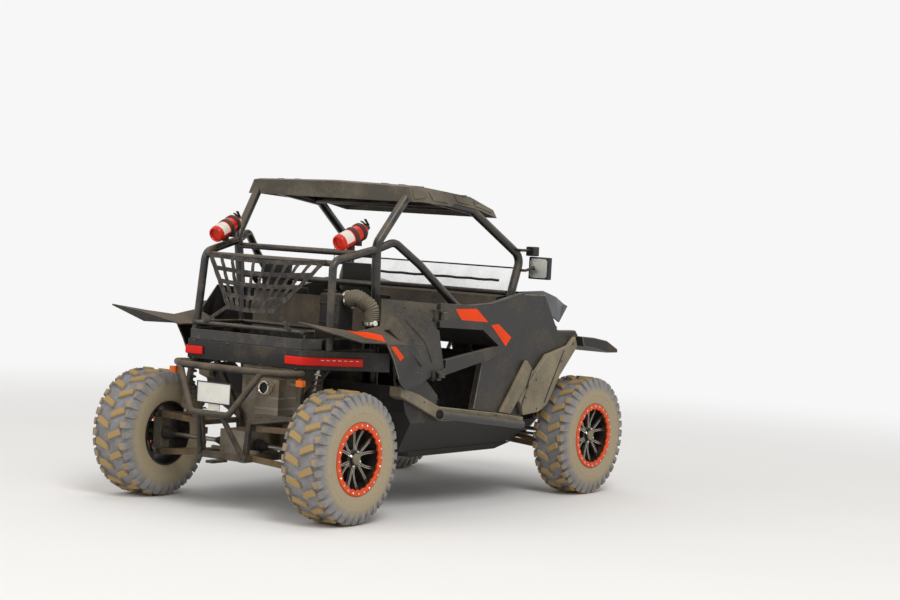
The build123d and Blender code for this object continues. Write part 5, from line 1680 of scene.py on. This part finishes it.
boots, bars = [], []
near = shaft["inner"]
for sign, far in ((1, shaft["front"]), (-1, shaft["rear"])):
    centre = (sign * shaft["x"], 0, shaft["height"])
    bar = [(0, near + 0.085), (0.0122, near + 0.085), (0.0122, far - 0.085), (0, far - 0.085)]
    for side in (1, -1):
        for start, way in ((near, 1), (far, -1)):
            boot = [(0, start)] + bootProfile(start, way) + [(0, start + way * 0.092)]
            boots.append(spun(boot, centre, (0, side, 0), 36, False))
        bars.append(spun(bar, centre, (0, side, 0), 28, False))
keep("shaft_bars", joined(bars), "turnedSteel", ("half_shafts",))
keep("shaft_boots", joined(boots), "mouldedRubber", (), 30)
print("suspension done")

# dashboard: blank display, rocker switches and the passenger's grab bar
dash = {
    "facing": (-0.992, 0, -0.122),
    "up": (-0.122, 0, 0.992),
    "case": ((0.3905, 0.030, 1.032), 0.170, 0.088, 0.008, 0.010),
    "glass": ((0.3822, 0.030, 1.031), 0.140, 0.066, 0.0012, 0.004),
    "socket": ((0.398, -0.100, 0.985), 0.024, 0.036, 0.006, 0.003),
    "rocker": ((0.3925, -0.100, 0.992), 0.018, 0.014, 0.004, 0.002),
    "rockers": 6,
    "rockerStep": (0, -0.034, 0),
    "grab": [(0.402, -0.170, 1.055), (0.345, -0.170, 1.062), (0.345, -0.420, 1.062), (0.402, -0.420, 1.055)],
    "grabBend": 0.025,
    "grabTube": 0.011,
}
ways = (dash["facing"], dash["up"])
case, glass = [plateMesh(dash[name][0], *ways, *dash[name][1:]) for name in ("case", "glass")]
keep("display_case", case, "mouldedBlackPolypropylene")
keep("display_glass", glass, "screenGlass")
rocker = joined([
    plateMesh(dash["socket"][0], *ways, *dash["socket"][1:]),
    plateMesh(dash["rocker"][0], (-0.95, 0, 0.30), (0.30, 0, 0.95), *dash["rocker"][1:]),
])
rockers = grown(
    "dashSwitches", "row", "mouldedBlackPolypropylene", {"Part": rocker}, Count=dash["rockers"],
    Step=dash["rockerStep"],
)
settle("dash_switches", rockers, None, "chassis")
grabLine = roundedLine(dash["grab"], dash["grabBend"], 8)
keep("grab_bar", tubeMesh(grabLine, dash["grabTube"], 18), "mouldedRubber", (), 50)
print("dashboard done")

# raised panels and ribs moulded into the roof
roofLook = {
    "side": [
        [(-0.492, 1.760), (-0.372, 1.752), (-0.392, 1.716), (-0.498, 1.708)],
        [(-0.345, 1.750), (-0.186, 1.740), (-0.180, 1.694), (-0.322, 1.704)],
        [(-0.090, 1.738), (0.050, 1.722), (0.040, 1.690), (-0.084, 1.704)],
        [(0.105, 1.712), (0.300, 1.668), (0.300, 1.650), (0.110, 1.684)],
    ],
    "raised": 0.005,
    "cell": 0.05,
    "top": [
        [(-0.420, 0.290), (-0.180, 0.290), (-0.180, 0.330), (-0.420, 0.330)],
        [(-0.420, 0.410), (-0.180, 0.410), (-0.180, 0.450), (-0.420, 0.450)],
        [(-0.090, 0.130), (0.220, 0.110), (0.220, 0.150), (-0.090, 0.175)],
        [(-0.090, 0.330), (0.220, 0.300), (0.220, 0.340), (-0.090, 0.375)],
    ],
}
raised = (roofLook["raised"], roofLook["cell"], 0.0)
skirts = joined([pressed("roof", outline, *raised) for outline in roofLook["side"]])
addBevel(keep("roof_skirt_panels", skirts, "greyPolyethylene", (), 30), 0.002, 2)
halves = [[(x, side * y) for x, y in outline] for outline in roofLook["top"] for side in (1, -1)]
ribs = joined([laidOn("roof", outline, 2, rays["roof"], *raised) for outline in halves])
addBevel(keep("roof_ribs", ribs, "greyPolyethylene", (), 30), 0.002, 2)
print("roof done")

# hood louvres, a painted highlight on the rear arch, dark strips on the panels, and the light marks in the tail
# lamps
panelLook = {
    "louvres": {
        "starts": (0.700, 0.735, 0.770, 0.805), "long": 0.016, "reach": (0.10, 0.29), "thick": 0.0035,
        "cell": 0.05,
    },
    "darkLines": {
        # painted shade: a dark strip along the moulded ridge of the quarter panels
        "quarter_panels": [[(-0.640, 1.060), (-0.633, 1.062), (-0.452, 0.830), (-0.459, 0.826)]],
        "footwell_panels": [
            [(0.560, 0.770), (0.568, 0.765), (0.446, 0.520), (0.438, 0.525)],
            [(0.880, 0.868), (0.886, 0.861), (0.700, 0.560), (0.693, 0.566)],
        ],
    },
    "arch": [(-0.884, 0.930), (-0.832, 0.854), (-0.776, 0.750)],
    "marks": {
        "starts": (-1.10, -1.075, -1.05, -1.025, -1.0, -0.975, -0.95), "long": 0.013, "low": 0.8345,
        "high": 0.8380,
    },
}
louvre = panelLook["louvres"]
inner, outer = louvre["reach"]
pairs = [(x, x + louvre["long"], side * inner, side * outer) for x in louvre["starts"] for side in (1, -1)]
slots = [[(a, low), (b, low), (b, high), (a, high)] for a, b, low, high in pairs]
louvres = joined([laidOn("hood", slot, 2, rays["hood"], louvre["thick"], louvre["cell"]) for slot in slots])
addBevel(keep("hood_louvres", louvres, "mouldedBlackPolypropylene", (), 30), 0.001, 2)
# a pale strip along the front edge of the rear arch: a painted highlight where the edge catches the light
arch = panelLook["arch"]
archHighlightOutline = [(x - 0.004, z - 0.002) for x, z in arch] + [(x + 0.004, z + 0.002) for x, z in arch[::-1]]
archHighlightStrips = pressed("quarter_panels", archHighlightOutline, 0.0012, 0.03)
keep("arch_trim", archHighlightStrips, "sandedPolypropylene", (), 30)
# dark strips pressed on the panels along these lines; on the quarter panels they are painted shade of a ridge
for node, outlines in panelLook["darkLines"].items():
    strips = joined([pressed(node, outline, 0.0012, 0.03) for outline in outlines])
    keep(node + "_seams", strips, "mouldedRubber", (), 30)
mark = panelLook["marks"]
low, high = mark["low"], mark["high"]
ends = [(x, x + mark["long"]) for x in mark["starts"]]
strips = [
    pressed("tail_lamps", [(a, low), (b, low), (b, high), (a, high)], 0.0020, 0.05, 0.0010) for a, b in ends
]
keep("tail_lamp_marks", joined(strips), "blankLabel", (), 30)
print("panels done")

# dome-headed bolts stood on the panels where rays meet them
dome = [(0, 0.0045), (0.0035, 0.0042), (0.0062, 0.0026), (0.0072, 0.0), (0, 0)]
boltHead = spun(dome, (0, 0, 0), (0, 0, 1), 12, False)
bolts = {
    "sills": (1, rays["side"], [(-0.50, 0.615), (-0.24, 0.545), (0.02, 0.525), (0.20, 0.512)]),
    "footwell_panels": (
        1, rays["side"], [(0.50, 0.60), (0.60, 0.70), (0.86, 0.80), (0.98, 0.90), (0.62, 0.53)],
    ),
    "quarter_panels": (
        1, rays["side"], [(-0.86, 1.085), (-0.62, 1.125), (-0.46, 1.115), (-0.42, 0.865), (-0.60, 0.775)],
    ),
    "front_side_panels": (1, rays["side"], [(0.52, 1.12), (0.70, 1.14), (0.90, 1.08)]),
    "tail_panel": (0, rays["behind"], [(y, z) for y in (-0.36, -0.12, 0.12, 0.36) for z in (0.782, 0.878)]),
    "roof": (2, rays["roof"], [(x, y) for x in (-0.35, -0.05) for y in (-0.50, 0.50)]),
    "hood": (2, rays["hood"], [(x, y) for x in (0.66, 1.05) for y in (-0.36, 0.36)]),
}
heads = []
for node, (drop, start, places) in bolts.items():
    heads += seated(node, places, drop, start)
marks = ([place for place, aim in heads], [], [], [aim for place, aim in heads])
stood = grown("panelBolts", "standing", "powderCoatedTube", {"Marks": marks, "Part": boltHead})
settle("panel_bolts", stood, None, "chassis", (), 50)
print("bolts", len(heads))

# stage: a pale floor that runs out into the backdrop, and plain soft light
stageLook = {"floor": "#f1efec", "size": 60.0, "backdrop": 0.93, "fadeFrom": 3.2, "fadeTo": 9.0, "aim": 0.8}


def seenStraight(tree):
    # one for rays of the camera, of mirrors and through clear sheet, nothing for those that carry light
    path = addNode(tree, "ShaderNodeLightPath")
    kinds = [path.outputs[name] for name in ("Is Camera Ray", "Is Glossy Ray", "Is Transmission Ray")]
    either = addNode(tree, "ShaderNodeMath", {"operation": "MAXIMUM"}, {0: kinds[0], 1: kinds[1]})
    return addNode(tree, "ShaderNodeMath", {"operation": "MAXIMUM"}, {0: either, 1: kinds[2]})


def buildStage():
    material, tree, shader, place = newMaterial("paleFloor", {"Roughness": 0.9, "Specular IOR Level": 0.2})
    cloud = addNode(tree, "ShaderNodeTexNoise", {"Scale": 0.8, "Detail": 3}, {"Vector": place})
    tint = addNode(tree, "ShaderNodeMapRange", {"To Min": 0.98, "To Max": 1.02}, {"Value": cloud})
    colour = addNode(
        tree, "ShaderNodeHueSaturation", {"Color": hexToLinear(stageLook["floor"])}, {"Value": tint},
    )
    wire(tree, shader, {"Base Color": colour})
    reach = addNode(tree, "ShaderNodeVectorMath", {"operation": "LENGTH"}, {0: place})
    far = addNode(
        tree, "ShaderNodeMapRange",
        {
            "From Min": stageLook["fadeFrom"], "From Max": stageLook["fadeTo"],
            "interpolation_type": "SMOOTHSTEP",
        },
        {"Value": reach.outputs["Value"]},
    )
    seen = seenStraight(tree)
    share = addNode(tree, "ShaderNodeMath", {"operation": "MULTIPLY"}, {0: far, 1: seen})
    backdrop = addNode(tree, "ShaderNodeEmission", {"Color": (1, 1, 1, 1), "Strength": stageLook["backdrop"]})
    mixed = addNode(tree, "ShaderNodeMixShader", None, {0: share, 1: shader, 2: backdrop})
    wire(tree, tree.nodes["Material Output"], {"Surface": mixed})
    s = stageLook["size"]
    mesh = bpy.data.meshes.new("floor")
    mesh.from_pydata([(-s, -s, 0), (s, -s, 0), (s, s, 0), (-s, s, 0)], [], [(0, 1, 2, 3)])
    mesh.materials.append(material)
    floor = bpy.data.objects.new("floor", mesh)
    scene.collection.objects.link(floor)


lights = {
    "world": 0.52,
    "key": {"place": (-6.5, -8.5, 12.0), "energy": 980, "size": 7.0},
    "fill": {"place": (-11.0, 5.0, 7.0), "energy": 280, "size": 8.0},
    "top": {"place": (2.0, 1.0, 11.0), "energy": 190, "size": 8.0},
}


def buildLights():
    world = bpy.data.worlds.new("studio")
    scene.world = world
    world.use_nodes = True
    tree = world.node_tree
    ground = tree.nodes["Background"]
    ground.inputs["Color"].default_value = (1, 1, 1, 1)
    seen = seenStraight(tree)
    strength = addNode(
        tree, "ShaderNodeMapRange", {"To Min": lights["world"], "To Max": stageLook["backdrop"]},
        {"Value": seen},
    )
    wire(tree, ground, {"Strength": strength})
    for name in ("key", "fill", "top"):
        light = bpy.data.lights.new(name, "AREA")
        light.shape = "DISK"
        light.size = lights[name]["size"]
        light.energy = lights[name]["energy"]
        holder = bpy.data.objects.new(name, light)
        scene.collection.objects.link(holder)
        holder.location = lights[name]["place"]
        aim = Vector((0, 0, stageLook["aim"])) - Vector(lights[name]["place"])
        holder.rotation_mode = "QUATERNION"
        holder.rotation_quaternion = aim.to_track_quat("-Z", "Y")


buildStage()
buildLights()
print("stage done")
